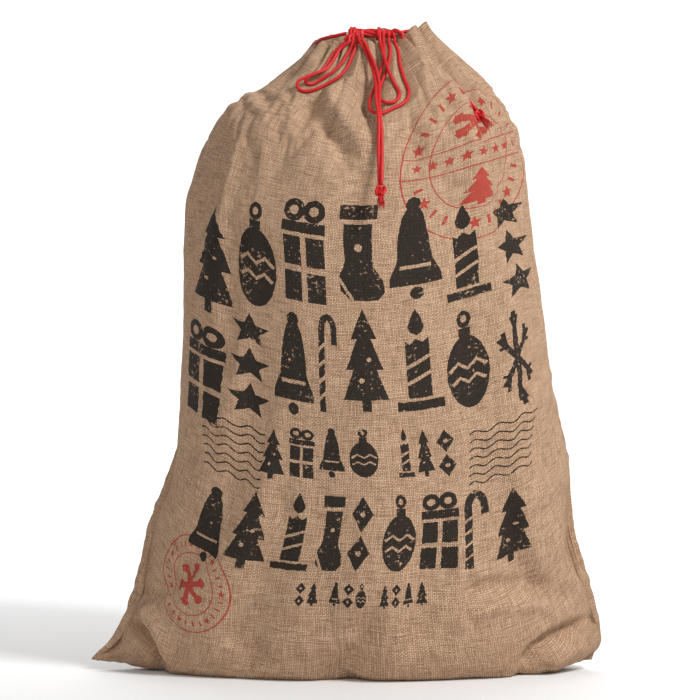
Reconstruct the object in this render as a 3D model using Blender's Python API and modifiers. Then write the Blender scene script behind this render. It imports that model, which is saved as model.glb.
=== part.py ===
"""Fabric gift sack: two cloth panels sewn at the sides and bottom, with a drawcord hem tied in a bow.

Metres, +Z up. The printed front faces -Y and the sack stands on its folded-under base at Z = 0.
"""

import math

import bmesh
import bpy
import numpy as np
from mathutils import Vector
from mathutils.bvhtree import BVHTree

# Driving dimensions.
FLAT_HEIGHT = 0.700  # bottom seam to the top fold of the hem, laid flat
CLOTH = 0.0010  # thickness of the woven cloth
GAP = 0.0003  # clearance between pieces that touch
CORD = 0.0030  # diameter of the drawcord
CORD_RADIUS = CORD / 2
THREAD = 0.0008  # diameter of the sewing thread
HEM = 0.035  # depth of the turned hem that holds the drawcords
SEAM_ALLOWANCE = 0.008  # width of cloth turned inside at each seam
SEAM_HALF = 0.0003  # half thickness of the pressed allowance
SEAM_INSET = 0.0005  # how far inside a panel's edge the allowance starts
STITCH_INSET = 0.0055  # how far inside a panel's edge its lockstitch runs
STITCH_OFF = SEAM_HALF + GAP + THREAD / 2  # a lockstitch's centre line, in front of the allowance
TUNNEL = 0.0078  # room for the drawcords between a panel and its casing
CORD_PLAY = 0.0010  # how loosely a drawcord lies against the inside of its panel
HEM_STITCH_STEP = 0.006  # spacing of the points along the hem's thread
SEAM_STITCH_STEP = 0.012  # spacing of the points along a seam's thread
EDGE_Y = 0.0016  # how far each panel's outer edge stands from the seam plane
EXIT_GAP = 0.0034  # how much further apart the edges are where the cords come out

COLUMNS = 28  # faces across each panel
HEM_ROWS = 4  # faces up the turned hem
# Flat heights of each panel's rows of points, closest where it bends most.
ROW_HEIGHTS = [
    *np.linspace(0.0, 0.130, 9),
    *np.linspace(0.130, FLAT_HEIGHT - 5 * HEM, 13)[1:],
    *np.linspace(FLAT_HEIGHT - 5 * HEM, FLAT_HEIGHT, 5 * HEM_ROWS + 1)[1:],
]

# Where each flat height comes to when the sack is full: (flat height, across or out, up).
LEFT_EDGE = [
    (0.000, -0.247, 0.010), (0.034, -0.225, 0.034), (0.061, -0.214, 0.057),
    (0.162, -0.189, 0.150), (0.240, -0.163, 0.220), (0.289, -0.156, 0.266),
    (0.386, -0.151, 0.359), (0.459, -0.150, 0.429), (0.500, -0.150, 0.466),
    (0.563, -0.127, 0.522), (0.592, -0.112, 0.545), (0.640, -0.073, 0.570),
    (0.679, -0.043, 0.592), (0.700, -0.029, 0.603),
]
RIGHT_EDGE = [
    (0.000, 0.239, 0.010), (0.034, 0.247, 0.036), (0.080, 0.239, 0.080),
    (0.133, 0.225, 0.127), (0.234, 0.214, 0.220), (0.286, 0.202, 0.266),
    (0.338, 0.191, 0.313), (0.388, 0.184, 0.360), (0.490, 0.173, 0.453),
    (0.540, 0.168, 0.499), (0.579, 0.159, 0.534), (0.608, 0.146, 0.557),
    (0.643, 0.123, 0.581), (0.680, 0.095, 0.604), (0.700, 0.078, 0.616),
]
FRONT_MIDDLE = [
    (0.000, 0.000, 0.003), (0.020, 0.020, -0.003), (0.050, 0.050, -0.002),
    (0.075, 0.073, 0.009), (0.100, 0.088, 0.030), (0.130, 0.097, 0.059),
    (0.180, 0.107, 0.108), (0.240, 0.116, 0.167), (0.310, 0.126, 0.236),
    (0.380, 0.134, 0.306), (0.450, 0.139, 0.375), (0.510, 0.137, 0.435),
    (0.560, 0.126, 0.484), (0.600, 0.108, 0.519), (0.640, 0.082, 0.549),
    (0.670, 0.060, 0.573), (0.700, 0.040, 0.601),
]
BACK_MIDDLE = [
    (0.000, 0.000, 0.003), (0.020, 0.020, -0.003), (0.050, 0.050, -0.002),
    (0.075, 0.073, 0.009), (0.100, 0.088, 0.030), (0.130, 0.097, 0.059),
    (0.180, 0.107, 0.108), (0.240, 0.116, 0.167), (0.310, 0.126, 0.236),
    (0.380, 0.134, 0.306), (0.450, 0.139, 0.375), (0.510, 0.137, 0.436),
    (0.560, 0.123, 0.486), (0.600, 0.101, 0.524), (0.640, 0.071, 0.562),
    (0.670, 0.048, 0.593), (0.700, 0.030, 0.623),
]
# (flat height, value): how pinched the section is at its seams, and how late its edge rises.
PINCH = [(0.0, 1.5), (0.1, 1.4), (0.25, 1.05), (0.7, 1.0)]
EDGE_RISE = [(0.0, 6.0), (0.08, 6.0), (0.25, 3.0), (0.45, 2.0), (0.7, 2.0)]

# The bow. A point of three numbers is (across, up, lift): the cord's centre lies lift above where
# it would rest on the front panel. A point of four is (x, y, z, 0), held clear of the cloth.
KNOT_CENTRE = (0.0255, -0.042, 0.6130)
KNOT_SIZE = (0.012, 0.012, 0.045)
LEFT_LEAD = [
    (0.0000, -0.0430, 0.6130), (-0.0110, -0.0370, 0.6110), (-0.0230, -0.0230, 0.6095),
    (-0.0290, -0.0075, 0.6070), (-0.0335, -0.0024, 0.6010), (-0.0370, -0.0022, 0.5945),
]
RIGHT_LEAD = [
    (0.0510, -0.0420, 0.6140), (0.0620, -0.0340, 0.6165), (0.0720, -0.0190, 0.6190),
    (0.0775, -0.0075, 0.6200), (0.0805, -0.0024, 0.6150), (0.0820, -0.0022, 0.6090),
]
LOOPS = {
    "left_loop_outer": [
        (0.0005, -0.0475, 0.6045, 0), (-0.0080, 0.5935, 0.0010), (-0.0135, 0.5850, 0.0010),
        (-0.0210, 0.5725, 0.0030), (-0.0320, 0.5635, 0.0070), (-0.0410, 0.5575, 0.0080),
        (-0.0430, 0.5540, 0.0040), (-0.0370, 0.5530, 0.0005), (-0.0270, 0.5555, 0.0000),
        (-0.0160, 0.5610, 0.0000), (-0.0050, 0.5685, 0.0000), (0.0020, 0.5770, 0.0000),
        (0.0060, 0.5870, 0.0000), (0.0095, 0.5950, 0.0010), (0.0107, -0.0480, 0.6045, 0),
    ],
    "left_loop_inner": [
        (0.0037, -0.0505, 0.6045, 0), (-0.0035, 0.5930, 0.0035), (-0.0090, 0.5830, 0.0040),
        (-0.0160, 0.5720, 0.0060), (-0.0250, 0.5645, 0.0090), (-0.0330, 0.5600, 0.0090),
        (-0.0350, 0.5585, 0.0045), (-0.0300, 0.5600, 0.0010), (-0.0220, 0.5650, 0.0005),
        (-0.0120, 0.5720, 0.0005), (-0.0040, 0.5800, 0.0005), (0.0015, 0.5890, 0.0005),
        (0.0055, 0.5950, 0.0010), (0.0072, -0.0500, 0.6040, 0),
    ],
    "right_loop_outer": [
        (0.0465, -0.0470, 0.6045, 0), (0.0495, 0.5920, 0.0010), (0.0510, 0.5800, 0.0000),
        (0.0545, 0.5670, 0.0000), (0.0590, 0.5530, 0.0000), (0.0555, 0.5425, 0.0000),
        (0.0440, 0.5360, 0.0000), (0.0320, 0.5310, 0.0000), (0.0230, 0.5345, 0.0000),
        (0.0230, 0.5440, 0.0000), (0.0270, 0.5560, 0.0000), (0.0315, 0.5690, 0.0000),
        (0.0355, 0.5820, 0.0000), (0.0365, 0.5930, 0.0010), (0.0360, -0.0480, 0.6045, 0),
    ],
    "right_loop_inner": [
        (0.0325, -0.0485, 0.6045, 0), (0.0340, 0.5930, 0.0040), (0.0365, 0.5830, 0.0045),
        (0.0400, 0.5710, 0.0045), (0.0455, 0.5585, 0.0030), (0.0500, 0.5490, 0.0020),
        (0.0460, 0.5420, 0.0010), (0.0375, 0.5410, 0.0010), (0.0315, 0.5460, 0.0010),
        (0.0325, 0.5570, 0.0010), (0.0365, 0.5690, 0.0000), (0.0405, 0.5820, 0.0000),
        (0.0420, 0.5920, 0.0010), (0.0412, -0.0475, 0.6045, 0),
    ],
}
# Each tail is two strands, side by side: these are the points of the line between them.
TAILS = {
    "front_tail": [
        (0.0145, -0.0540, 0.6050, 0), (0.0180, 0.5970, 0.0045), (0.0225, 0.5860, 0.0040),
        (0.0275, 0.5710, 0.0042), (0.0300, 0.5560, 0.0042), (0.0300, 0.5420, 0.0042),
        (0.0310, 0.5300, 0.0042), (0.0320, 0.5180, 0.0015), (0.0320, 0.5050, 0.0000),
        (0.0320, 0.4900, 0.0000), (0.0320, 0.4760, 0.0010), (0.0320, 0.4640, 0.0025),
    ],
    "right_tail": [
        (0.0535, -0.0470, 0.6080, 0), (0.0600, -0.0430, 0.6020, 0), (0.0690, 0.5900, 0.0005),
        (0.0840, 0.5755, 0.0000), (0.0990, 0.5595, 0.0000), (0.1120, 0.5435, 0.0010),
        (0.1190, 0.5340, 0.0025),
    ],
}
TAIL_KNOT = (0.0100, 0.0090, 0.0110)

CLOTH_COLOUR = (0.434, 0.283, 0.191, 1)
THREAD_COLOUR = (0.474, 0.332, 0.235, 1)
CORD_COLOUR = (0.645, 0.032, 0.031, 1)


def clear_scene():
    for thing in list(bpy.data.objects):
        bpy.data.objects.remove(thing)


def material(name, colour, roughness):
    made = bpy.data.materials.new(name)
    made.use_nodes = True
    shader = made.node_tree.nodes["Principled BSDF"]
    shader.inputs["Base Color"].default_value = colour
    shader.inputs["Roughness"].default_value = roughness
    shader.inputs["Metallic"].default_value = 0.0
    return made


def read(table, height):
    """The table's values at a flat height, on a smooth curve through its rows."""
    rows = np.array(table)
    at, values = rows[:, 0], rows[:, 1:]
    slopes = np.gradient(values, at, axis=0)
    index = int(np.clip(np.searchsorted(at, height) - 1, 0, len(at) - 2))
    span = at[index + 1] - at[index]
    s = float(np.clip((height - at[index]) / span, 0, 1))
    return (
        (2 * s**3 - 3 * s**2 + 1) * values[index]
        + (s**3 - 2 * s**2 + s) * span * slopes[index]
        + (3 * s**2 - 2 * s**3) * values[index + 1]
        + (s**3 - s**2) * span * slopes[index + 1]
    )


def ease(value, low, high):
    s = min(1.0, max(0.0, (value - low) / (high - low)))
    return s * s * (3 - 2 * s)


def outer_point(side, across, height):
    """A point on a panel's outer face.

    side is -1 for the front and 1 for the back, across runs from -1 at the left seam to 1 at the
    right, and height is the flat height above the bottom seam.
    """
    left_x, left_z = read(LEFT_EDGE, height)
    right_x, right_z = read(RIGHT_EDGE, height)
    out, middle_z = read(FRONT_MIDDLE if side < 0 else BACK_MIDDLE, height)
    turn = across * math.pi / 2
    x = (left_x + right_x) / 2 + (right_x - left_x) / 2 * math.sin(turn)
    edge = EDGE_Y + EXIT_GAP * ease(height, FLAT_HEIGHT - 1.4 * HEM, FLAT_HEIGHT - 0.9 * HEM)
    y = edge + max(out, 0) * max(math.cos(turn), 0) ** read(PINCH, height)[0]
    edge_z = left_z if across < 0 else right_z
    z = middle_z + (edge_z - middle_z) * abs(math.sin(turn)) ** read(EDGE_RISE, height)[0]
    return Vector((x, side * y, max(z, 0.0)))


def outward(side, across, height):
    """The outward normal of a panel's outer face."""
    step = 0.004
    low, high = max(across - step, -1), min(across + step, 1)
    down, up = max(height - step, 0), min(height + step, FLAT_HEIGHT)
    along = outer_point(side, high, height) - outer_point(side, low, height)
    rise = outer_point(side, across, up) - outer_point(side, across, down)
    return (along.cross(rise) * -side).normalized()


def finish(thing, collection, look):
    for other in list(thing.users_collection):
        other.objects.unlink(thing)
    collection.objects.link(thing)
    thing.data.materials.clear()
    thing.data.materials.append(look)
    return thing


def grid_object(name, place, columns, rows, thickness, offset, look, collection):
    """A sheet of columns by rows faces whose points come from place(i, j), made solid."""
    mesh = bpy.data.meshes.new(name)
    build = bmesh.new()
    points = [[build.verts.new(place(i, j)) for i in range(columns + 1)] for j in range(rows + 1)]
    for j in range(rows):
        for i in range(columns):
            build.faces.new(
                (points[j][i], points[j][i + 1], points[j + 1][i + 1], points[j + 1][i])
            )
    build.to_mesh(mesh)
    build.free()
    thing = bpy.data.objects.new(name, mesh)
    wall = thing.modifiers.new("Wall", "SOLIDIFY")
    wall.thickness = thickness
    wall.offset = offset
    return finish(thing, collection, look)


def panel(name, side, look, collection):
    def place(i, j):
        across = (2 * i / COLUMNS - 1) * -side
        return outer_point(side, across, ROW_HEIGHTS[j])

    return grid_object(name, place, COLUMNS, len(ROW_HEIGHTS) - 1, CLOTH, -1, look, collection)


def casing(name, side, look, collection):
    """The turned-in layer of the hem. Its middle stands off the panel to leave a cord tunnel."""
    def place(i, j):
        across = (2 * (i + 1) / COLUMNS - 1) * -side
        up = j / HEM_ROWS
        height = ROW_HEIGHTS[len(ROW_HEIGHTS) - 1 - HEM_ROWS + j]
        inset = CLOTH + 2 * GAP + TUNNEL * math.sin(math.pi * up) ** 0.6
        return outer_point(side, across, height) - outward(side, across, height) * inset

    return grid_object(name, place, COLUMNS - 2, HEM_ROWS, 0.8 * CLOTH, -1, look, collection)


def side_seam(name, hand, look, collection):
    """The allowance turned inside along one side seam, from above the corner to the cord exit."""
    rows, low, high = 34, 0.020, FLAT_HEIGHT - 1.5 * HEM
    table = LEFT_EDGE if hand < 0 else RIGHT_EDGE

    def place(i, j):
        height = low + (high - low) * j / rows
        x, z = read(table, height)
        x_up, z_up = read(table, height + 0.002)
        x_down, z_down = read(table, height - 0.002)
        inward = Vector((z_up - z_down, 0, x_down - x_up)).normalized() * -hand
        return Vector((x, 0, z)) + inward * (SEAM_INSET + SEAM_ALLOWANCE * i)

    return grid_object(name, place, 1, rows, 2 * SEAM_HALF, 0, look, collection)


def bottom_seam(name, look, collection):
    """The allowance of the bottom seam, standing up inside the sack."""
    columns, reach = 30, 0.84

    def place(i, j):
        across = reach * (2 * i / columns - 1)
        foot = outer_point(-1, across, 0)
        return Vector((foot.x, 0, foot.z + SEAM_INSET + SEAM_ALLOWANCE * j))

    return grid_object(name, place, columns, 1, 2 * SEAM_HALF, 0, look, collection)


def smooth_route(points, spacing):
    """Evenly spaced points on one smooth curve through the given ones."""
    knots = [Vector(p) for p in points]
    ends = [2 * knots[0] - knots[1], *knots, 2 * knots[-1] - knots[-2]]
    fine = []
    for a, b, c, d in zip(ends, ends[1:], ends[2:], ends[3:]):
        for k in range(12):
            s = k / 12
            fine.append(
                0.5
                * (
                    2 * b
                    + (c - a) * s
                    + (2 * a - 5 * b + 4 * c - d) * s * s
                    + (3 * b - a - 3 * c + d) * s**3
                )
            )
    fine.append(knots[-1])
    lengths = np.cumsum([0.0] + [(q - p).length for p, q in zip(fine, fine[1:])])
    count = max(3, int(round(lengths[-1] / spacing)) + 1)
    places = np.linspace(0, lengths[-1], count)
    table = np.array([tuple(p) for p in fine])
    return [Vector([np.interp(at, lengths, table[:, k]) for k in range(3)]) for at in places]


def tube(name, points, diameter, look, collection, spacing=None):
    """A round cord or thread along a smooth curve through the points."""
    route = smooth_route(points, spacing or 1.5 * diameter)
    curve = bpy.data.curves.new(name, "CURVE")
    curve.dimensions = "3D"
    curve.bevel_depth = diameter / 2
    curve.bevel_resolution = 2
    curve.use_fill_caps = True
    spline = curve.splines.new("POLY")
    spline.points.add(len(route) - 1)
    for point, place in zip(spline.points, route):
        point.co = (*place, 1)
    return finish(bpy.data.objects.new(name, curve), collection, look)


def lump(name, centre, size, axis, look, collection, fullness=2.0):
    """A rounded knot of the given size, its long way along axis. Over 2, fullness makes it a barrel."""
    build = bmesh.new()
    bmesh.ops.create_uvsphere(build, u_segments=20, v_segments=14, radius=0.5)
    for vert in build.verts:
        along = min(1.0, abs(2 * vert.co.z))
        round_girth = math.sqrt(max(1e-6, 1 - along**2))
        swell = (1 - along**fullness) ** (1 / fullness) / round_girth
        vert.co = Vector(
            (vert.co.x * size[0] * swell, vert.co.y * size[1] * swell, vert.co.z * size[2])
        )
    mesh = bpy.data.meshes.new(name)
    build.to_mesh(mesh)
    build.free()
    thing = bpy.data.objects.new(name, mesh)
    thing.location = centre
    thing.rotation_mode = "QUATERNION"
    thing.rotation_quaternion = Vector((0, 0, 1)).rotation_difference(Vector(axis))
    return finish(thing, collection, look)


def tuft(name, top, axis, look, collection):
    """The frayed end below a knot: a turned brush shape that widens towards its tip."""
    profile = [
        (0.0, 0.0), (0.0028, 0.0), (0.0033, 0.005),
        (0.0042, 0.011), (0.0038, 0.015), (0.0, 0.016),
    ]
    mesh = bpy.data.meshes.new(name)
    build = bmesh.new()
    verts = [build.verts.new((radius, 0, along)) for radius, along in profile]
    for a, b in zip(verts, verts[1:]):
        build.edges.new((a, b))
    build.to_mesh(mesh)
    build.free()
    thing = bpy.data.objects.new(name, mesh)
    thing.location = top
    thing.rotation_mode = "QUATERNION"
    thing.rotation_quaternion = Vector((0, 0, 1)).rotation_difference(Vector(axis))
    turned = thing.modifiers.new("Turn", "SCREW")
    turned.steps = 14
    turned.render_steps = 14
    turned.use_merge_vertices = True
    turned.merge_threshold = 0.00001
    turned.use_normal_flip = True
    return finish(thing, collection, look)


def hem_stitch(name, side, look, collection):
    """The row of thread that holds the hem down, lying on the panel."""
    height, reach = FLAT_HEIGHT - HEM, 0.93
    points = []
    for k in range(25):
        across = reach * (2 * k / 24 - 1)
        off = GAP + THREAD / 2
        points.append(outer_point(side, across, height) + outward(side, across, height) * off)
    return tube(name, points, THREAD, look, collection, spacing=HEM_STITCH_STEP)


def seam_thread(name, hand, look, collection):
    """The lockstitch beside the allowance of a side seam."""
    table = LEFT_EDGE if hand < 0 else RIGHT_EDGE
    points = []
    for height in np.linspace(0.06, FLAT_HEIGHT - 1.7 * HEM, 26):
        x, z = read(table, height)
        points.append(Vector((x - hand * STITCH_INSET, -STITCH_OFF, z)))
    return tube(name, points, THREAD, look, collection, spacing=SEAM_STITCH_STEP)


def bottom_thread(name, look, collection):
    points = []
    for k in range(21):
        foot = outer_point(-1, 0.7 * (2 * k / 20 - 1), 0)
        points.append(Vector((foot.x, -STITCH_OFF, foot.z + STITCH_INSET)))
    return tube(name, points, THREAD, look, collection, spacing=SEAM_STITCH_STEP)


def round_the_hem(height, hand):
    """A drawcord's way round inside the hem, from beside its exit slot to the slot's other side."""
    inset = CLOTH + GAP + CORD_RADIUS + CORD_PLAY
    points = []
    for k in range(33):
        angle = 2 * math.pi * (0.06 + 0.88 * k / 32)
        across = math.asin(hand * math.cos(angle)) / (math.pi / 2)
        side = -1 if math.sin(angle) > 0 else 1
        points.append(
            outer_point(side, across, height) - outward(side, across, height) * inset
        )
    return points


def drawcord(name, height, hand, lead, look, collection):
    """One whole cord up to the bow: a lead, the way round inside the hem, and the lead back.

    lead lists the points of the front lead from the bow to the slot. The back lead is the same
    one, a cord's width behind it.
    """
    front = [Vector(point) for point in lead]
    back = [point + Vector((0, CORD + 2 * GAP, 0)) for point in front]
    points = front + round_the_hem(height, hand) + back[::-1]
    return tube(name, points, CORD, look, collection, spacing=2 * CORD)


def build():
    clear_scene()
    scene = bpy.context.scene
    sack = bpy.data.collections.new("gift_sack")
    scene.collection.children.link(sack)
    cloth = material("cloth", CLOTH_COLOUR, 0.9)
    thread = material("thread", THREAD_COLOUR, 0.7)
    cord = material("cord", CORD_COLOUR, 0.5)

    front = panel("front_panel", -1, cloth, sack)
    panel("back_panel", 1, cloth, sack)
    side_seam("left_side_seam", -1, cloth, sack)
    side_seam("right_side_seam", 1, cloth, sack)
    bottom_seam("bottom_seam", cloth, sack)
    casing("front_casing", -1, cloth, sack)
    casing("back_casing", 1, cloth, sack)
    seam_thread("left_seam_thread", -1, thread, sack)
    seam_thread("right_seam_thread", 1, thread, sack)
    bottom_thread("bottom_seam_thread", thread, sack)
    hem_stitch("front_hem_stitch", -1, thread, sack)
    hem_stitch("back_hem_stitch", 1, thread, sack)

    bpy.context.view_layer.update()
    surface = BVHTree.FromObject(front, bpy.context.evaluated_depsgraph_get())

    def on_cloth(x, z, lift=0.0):
        """A cord's centre where it lies on the front panel and its stitching, or lift above that."""
        hit, normal, _, _ = surface.ray_cast(Vector((x, -1, z)), Vector((0, 1, 0)))
        return hit + normal * (THREAD + CORD_RADIUS + 3 * GAP + lift), normal

    def route_points(route):
        """A route's points, and the way out from the cloth at each."""
        return [on_cloth(*p) if len(p) == 3 else (Vector(p[:3]), Vector((0, -1, 0))) for p in route]

    drawcord("left_drawcord", FLAT_HEIGHT - 0.019, -1, LEFT_LEAD, cord, sack)
    drawcord("right_drawcord", FLAT_HEIGHT - 0.010, 1, RIGHT_LEAD, cord, sack)
    lump("bow_knot", KNOT_CENTRE, KNOT_SIZE, (1, 0, 0), cord, sack, fullness=3.5)

    for name, route in LOOPS.items():
        tube(name, [point for point, _ in route_points(route)], CORD, cord, sack)
    for name, route in TAILS.items():
        placed = route_points(route)
        middle = [point for point, _ in placed]
        ways = [b - a for a, b in zip(middle, middle[1:])]
        beside = [
            way.cross(out).normalized() * -(CORD_RADIUS + GAP)
            for way, (_, out) in zip([*ways, ways[-1]], placed)
        ]
        for word, hand in (("left", -1), ("right", 1)):
            strand = [point + hand * aside for point, aside in zip(middle, beside)]
            tube(f"{name}_{word}_strand", strand, CORD, cord, sack)
        along = (middle[-1] - middle[-2]).normalized()
        centre = middle[-1] + along * (TAIL_KNOT[2] / 2 + GAP)
        lump(f"{name}_end_knot", centre, TAIL_KNOT, along, cord, sack)
        top = middle[-1] + along * (TAIL_KNOT[2] + 3 * GAP)
        tuft(f"{name}_frayed_end", top, along, cord, sack)


build()
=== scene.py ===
"""Fabric gift sack: the looks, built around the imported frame.

Metres, +Z up. The printed front faces -Y and the sack stands at Z = 0.
"""

import math

import bmesh
import bpy
import numpy as np
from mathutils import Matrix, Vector, noise
from mathutils.bvhtree import BVHTree
from mathutils.geometry import barycentric_transform, delaunay_2d_cdt


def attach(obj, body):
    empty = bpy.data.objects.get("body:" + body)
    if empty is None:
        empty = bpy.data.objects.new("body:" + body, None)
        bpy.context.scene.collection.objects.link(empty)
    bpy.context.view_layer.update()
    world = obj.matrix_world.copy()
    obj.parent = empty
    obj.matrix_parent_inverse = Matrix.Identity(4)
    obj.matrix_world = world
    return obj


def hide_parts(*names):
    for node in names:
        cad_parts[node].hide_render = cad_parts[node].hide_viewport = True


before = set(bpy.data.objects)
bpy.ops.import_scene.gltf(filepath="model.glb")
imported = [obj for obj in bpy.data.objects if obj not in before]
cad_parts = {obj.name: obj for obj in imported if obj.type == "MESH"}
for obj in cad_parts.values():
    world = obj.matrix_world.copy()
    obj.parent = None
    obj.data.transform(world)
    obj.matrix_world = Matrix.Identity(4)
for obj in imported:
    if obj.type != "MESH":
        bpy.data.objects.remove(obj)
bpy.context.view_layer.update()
scene = bpy.context.scene

# ---------------------------------------------------------------- sizes
FLAT_WIDTH = 0.5
FLAT_HEIGHT = 0.7  # bottom seam to the top fold of the hem
HEM = 0.035  # depth of the turned-in layer
CLOTH = 0.0008
CORD = 0.003
CORD_RADIUS = CORD / 2
STRAND_OFFSET = 0.00165  # from the middle of a tail to each of its strands
PLUMP = 0.00012  # how far the loose outer fibres make a cord stand over its own size
THREAD = 0.0008
GAP = 0.0003
SEAM_Y = 0.0007  # how far each panel stands from the seam's own plane
EXIT_GAP = 0.0043  # how much further apart the hem's edges are, where the cords come out
CELL = 0.0035  # size of the cloth's faces
SIM_COLUMNS = 85  # the simulated cloth's vertices across each panel
SIM_ROWS = 118  # and up it
SIM_FRAMES = 34
SIM_MOST_OUT = 0.006  # the most that the simulation may move the cloth out
SIM_MOST_IN = 0.01  # and in
CLOSER_FROM = 0.539  # flat height from which they are half that size
TUNNEL = 0.0046  # room for the cords between the hem's two layers
WEAVE = 0.00155  # pitch of the weave
PATH_STEP = 0.0012  # spacing of the points along a visible cord
FIBRES = 46  # in each frayed end
BRAID = 0.0062  # length of one turn of the plaits that the cord's surface shows
HEM_PITCH = 0.0032  # of the stitches that hold the hem down
HEM_STITCH = 0.0026  # length of each of them
PLEATS = 12  # gathers across each panel
PRINT_SEED = 7  # of the print's ragged edges, which Blender would otherwise seed from the clock
BACKDROP_START = 4.4  # how far behind the sack the floor begins to curve up
BACKDROP_BEND = 0.8  # radius of that curve
EYE_DISTANCE = 2.4  # the camera's, from the sack's middle
EYE_ELEVATION = 1.5  # degrees
EYE_TARGET = (0.0043, 0.0, 0.311)

# Where each flat height comes to when the sack is full: (flat height, across or out, up).
LEFT_EDGE = [
    (0.0, -0.247, 0.01), (0.034, -0.225, 0.034), (0.061, -0.214, 0.057),
    (0.162, -0.189, 0.15), (0.24, -0.163, 0.22), (0.289, -0.156, 0.266),
    (0.386, -0.151, 0.359), (0.459, -0.15, 0.429), (0.5, -0.15, 0.466),
    (0.563, -0.127, 0.522), (0.592, -0.112, 0.545), (0.64, -0.073, 0.57),
    (0.679, -0.043, 0.592), (0.7, -0.029, 0.603),
]
RIGHT_EDGE = [
    (0.0, 0.239, 0.01), (0.034, 0.247, 0.036), (0.08, 0.239, 0.08),
    (0.133, 0.225, 0.127), (0.234, 0.214, 0.22), (0.286, 0.202, 0.266),
    (0.338, 0.191, 0.313), (0.388, 0.184, 0.36), (0.49, 0.173, 0.453),
    (0.54, 0.168, 0.499), (0.579, 0.159, 0.534), (0.608, 0.146, 0.557),
    (0.643, 0.123, 0.581), (0.68, 0.095, 0.604), (0.7, 0.078, 0.616),
]
FRONT_MIDDLE = [
    (0.0, 0.0, 0.003), (0.02, 0.02, -0.003), (0.05, 0.05, -0.002),
    (0.075, 0.073, 0.009), (0.1, 0.088, 0.03), (0.13, 0.097, 0.059),
    (0.18, 0.107, 0.108), (0.24, 0.116, 0.167), (0.31, 0.126, 0.236),
    (0.38, 0.134, 0.306), (0.45, 0.139, 0.375), (0.51, 0.137, 0.435),
    (0.56, 0.126, 0.484), (0.6, 0.108, 0.519), (0.64, 0.082, 0.549),
    (0.67, 0.06, 0.573), (0.7, 0.04, 0.601),
]
BACK_MIDDLE = [
    *FRONT_MIDDLE[:11],  # the back is like the front up to here
    (0.51, 0.137, 0.436),
    (0.56, 0.123, 0.486), (0.6, 0.101, 0.524), (0.64, 0.071, 0.562),
    (0.67, 0.048, 0.593), (0.7, 0.03, 0.623),
]
PINCH = [(0.0, 1.5), (0.1, 1.4), (0.25, 1.05), (0.7, 1.0)]
EDGE_RISE = [(0.0, 6.0), (0.08, 6.0), (0.25, 3.0), (0.45, 2.0), (0.7, 2.0)]

# The bow. A point of three numbers is (across, up, lift): the cord's centre lies lift above where
# it would rest on the front panel. A point of four is (x, y, z, 0), held clear of the cloth.
KNOT_CENTRE = (0.0255, -0.042, 0.613)
KNOT_LENGTH = 0.045
LEFT_LEAD = [
    (0.0, -0.043, 0.613), (-0.011, -0.037, 0.611), (-0.023, -0.023, 0.6095),
    (-0.029, -0.0075, 0.607), (-0.0335, -0.0024, 0.601), (-0.037, -0.0022, 0.5945),
]
RIGHT_LEAD = [
    (0.051, -0.042, 0.614), (0.062, -0.034, 0.6165), (0.072, -0.019, 0.619),
    (0.0775, -0.0075, 0.62), (0.0805, -0.0024, 0.615), (0.082, -0.0022, 0.609),
]
LOOPS = {
    "left_loop_outer": [
        (0.0005, -0.0475, 0.6045, 0), (-0.008, 0.5935, 0.001), (-0.0135, 0.585, 0.001),
        (-0.021, 0.5725, 0.003), (-0.032, 0.5635, 0.007), (-0.041, 0.5575, 0.008),
        (-0.043, 0.554, 0.004), (-0.037, 0.553, 0.0005), (-0.027, 0.5555, 0.0),
        (-0.016, 0.561, 0.0), (-0.005, 0.5685, 0.0), (0.002, 0.577, 0.0),
        (0.006, 0.587, 0.0), (0.0095, 0.595, 0.001), (0.0107, -0.048, 0.6045, 0),
    ],
    "left_loop_inner": [
        (0.0037, -0.0505, 0.6045, 0), (-0.0035, 0.593, 0.0035), (-0.009, 0.583, 0.004),
        (-0.016, 0.572, 0.006), (-0.025, 0.5645, 0.009), (-0.033, 0.56, 0.009),
        (-0.035, 0.5585, 0.0045), (-0.03, 0.56, 0.001), (-0.022, 0.565, 0.0005),
        (-0.012, 0.572, 0.0005), (-0.004, 0.58, 0.0005), (0.0015, 0.589, 0.0005),
        (0.0055, 0.595, 0.001), (0.0072, -0.05, 0.604, 0),
    ],
    "right_loop_outer": [
        (0.0465, -0.047, 0.6045, 0), (0.0495, 0.592, 0.001), (0.051, 0.58, 0.0),
        (0.0545, 0.567, 0.0), (0.059, 0.553, 0.0), (0.0555, 0.5425, 0.0),
        (0.044, 0.536, 0.0), (0.032, 0.531, 0.0), (0.023, 0.5345, 0.0),
        (0.023, 0.544, 0.0), (0.027, 0.556, 0.0), (0.0315, 0.569, 0.0),
        (0.0355, 0.582, 0.0), (0.0365, 0.593, 0.001), (0.036, -0.048, 0.6045, 0),
    ],
    "right_loop_inner": [
        (0.0325, -0.0485, 0.6045, 0), (0.034, 0.593, 0.004), (0.0365, 0.583, 0.0045),
        (0.04, 0.571, 0.0045), (0.0455, 0.5585, 0.003), (0.05, 0.549, 0.002),
        (0.046, 0.542, 0.001), (0.0375, 0.541, 0.001), (0.0315, 0.546, 0.001),
        (0.0325, 0.557, 0.001), (0.0365, 0.569, 0.0), (0.0405, 0.582, 0.0),
        (0.042, 0.592, 0.001), (0.0412, -0.0475, 0.6045, 0),
    ],
}
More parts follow.
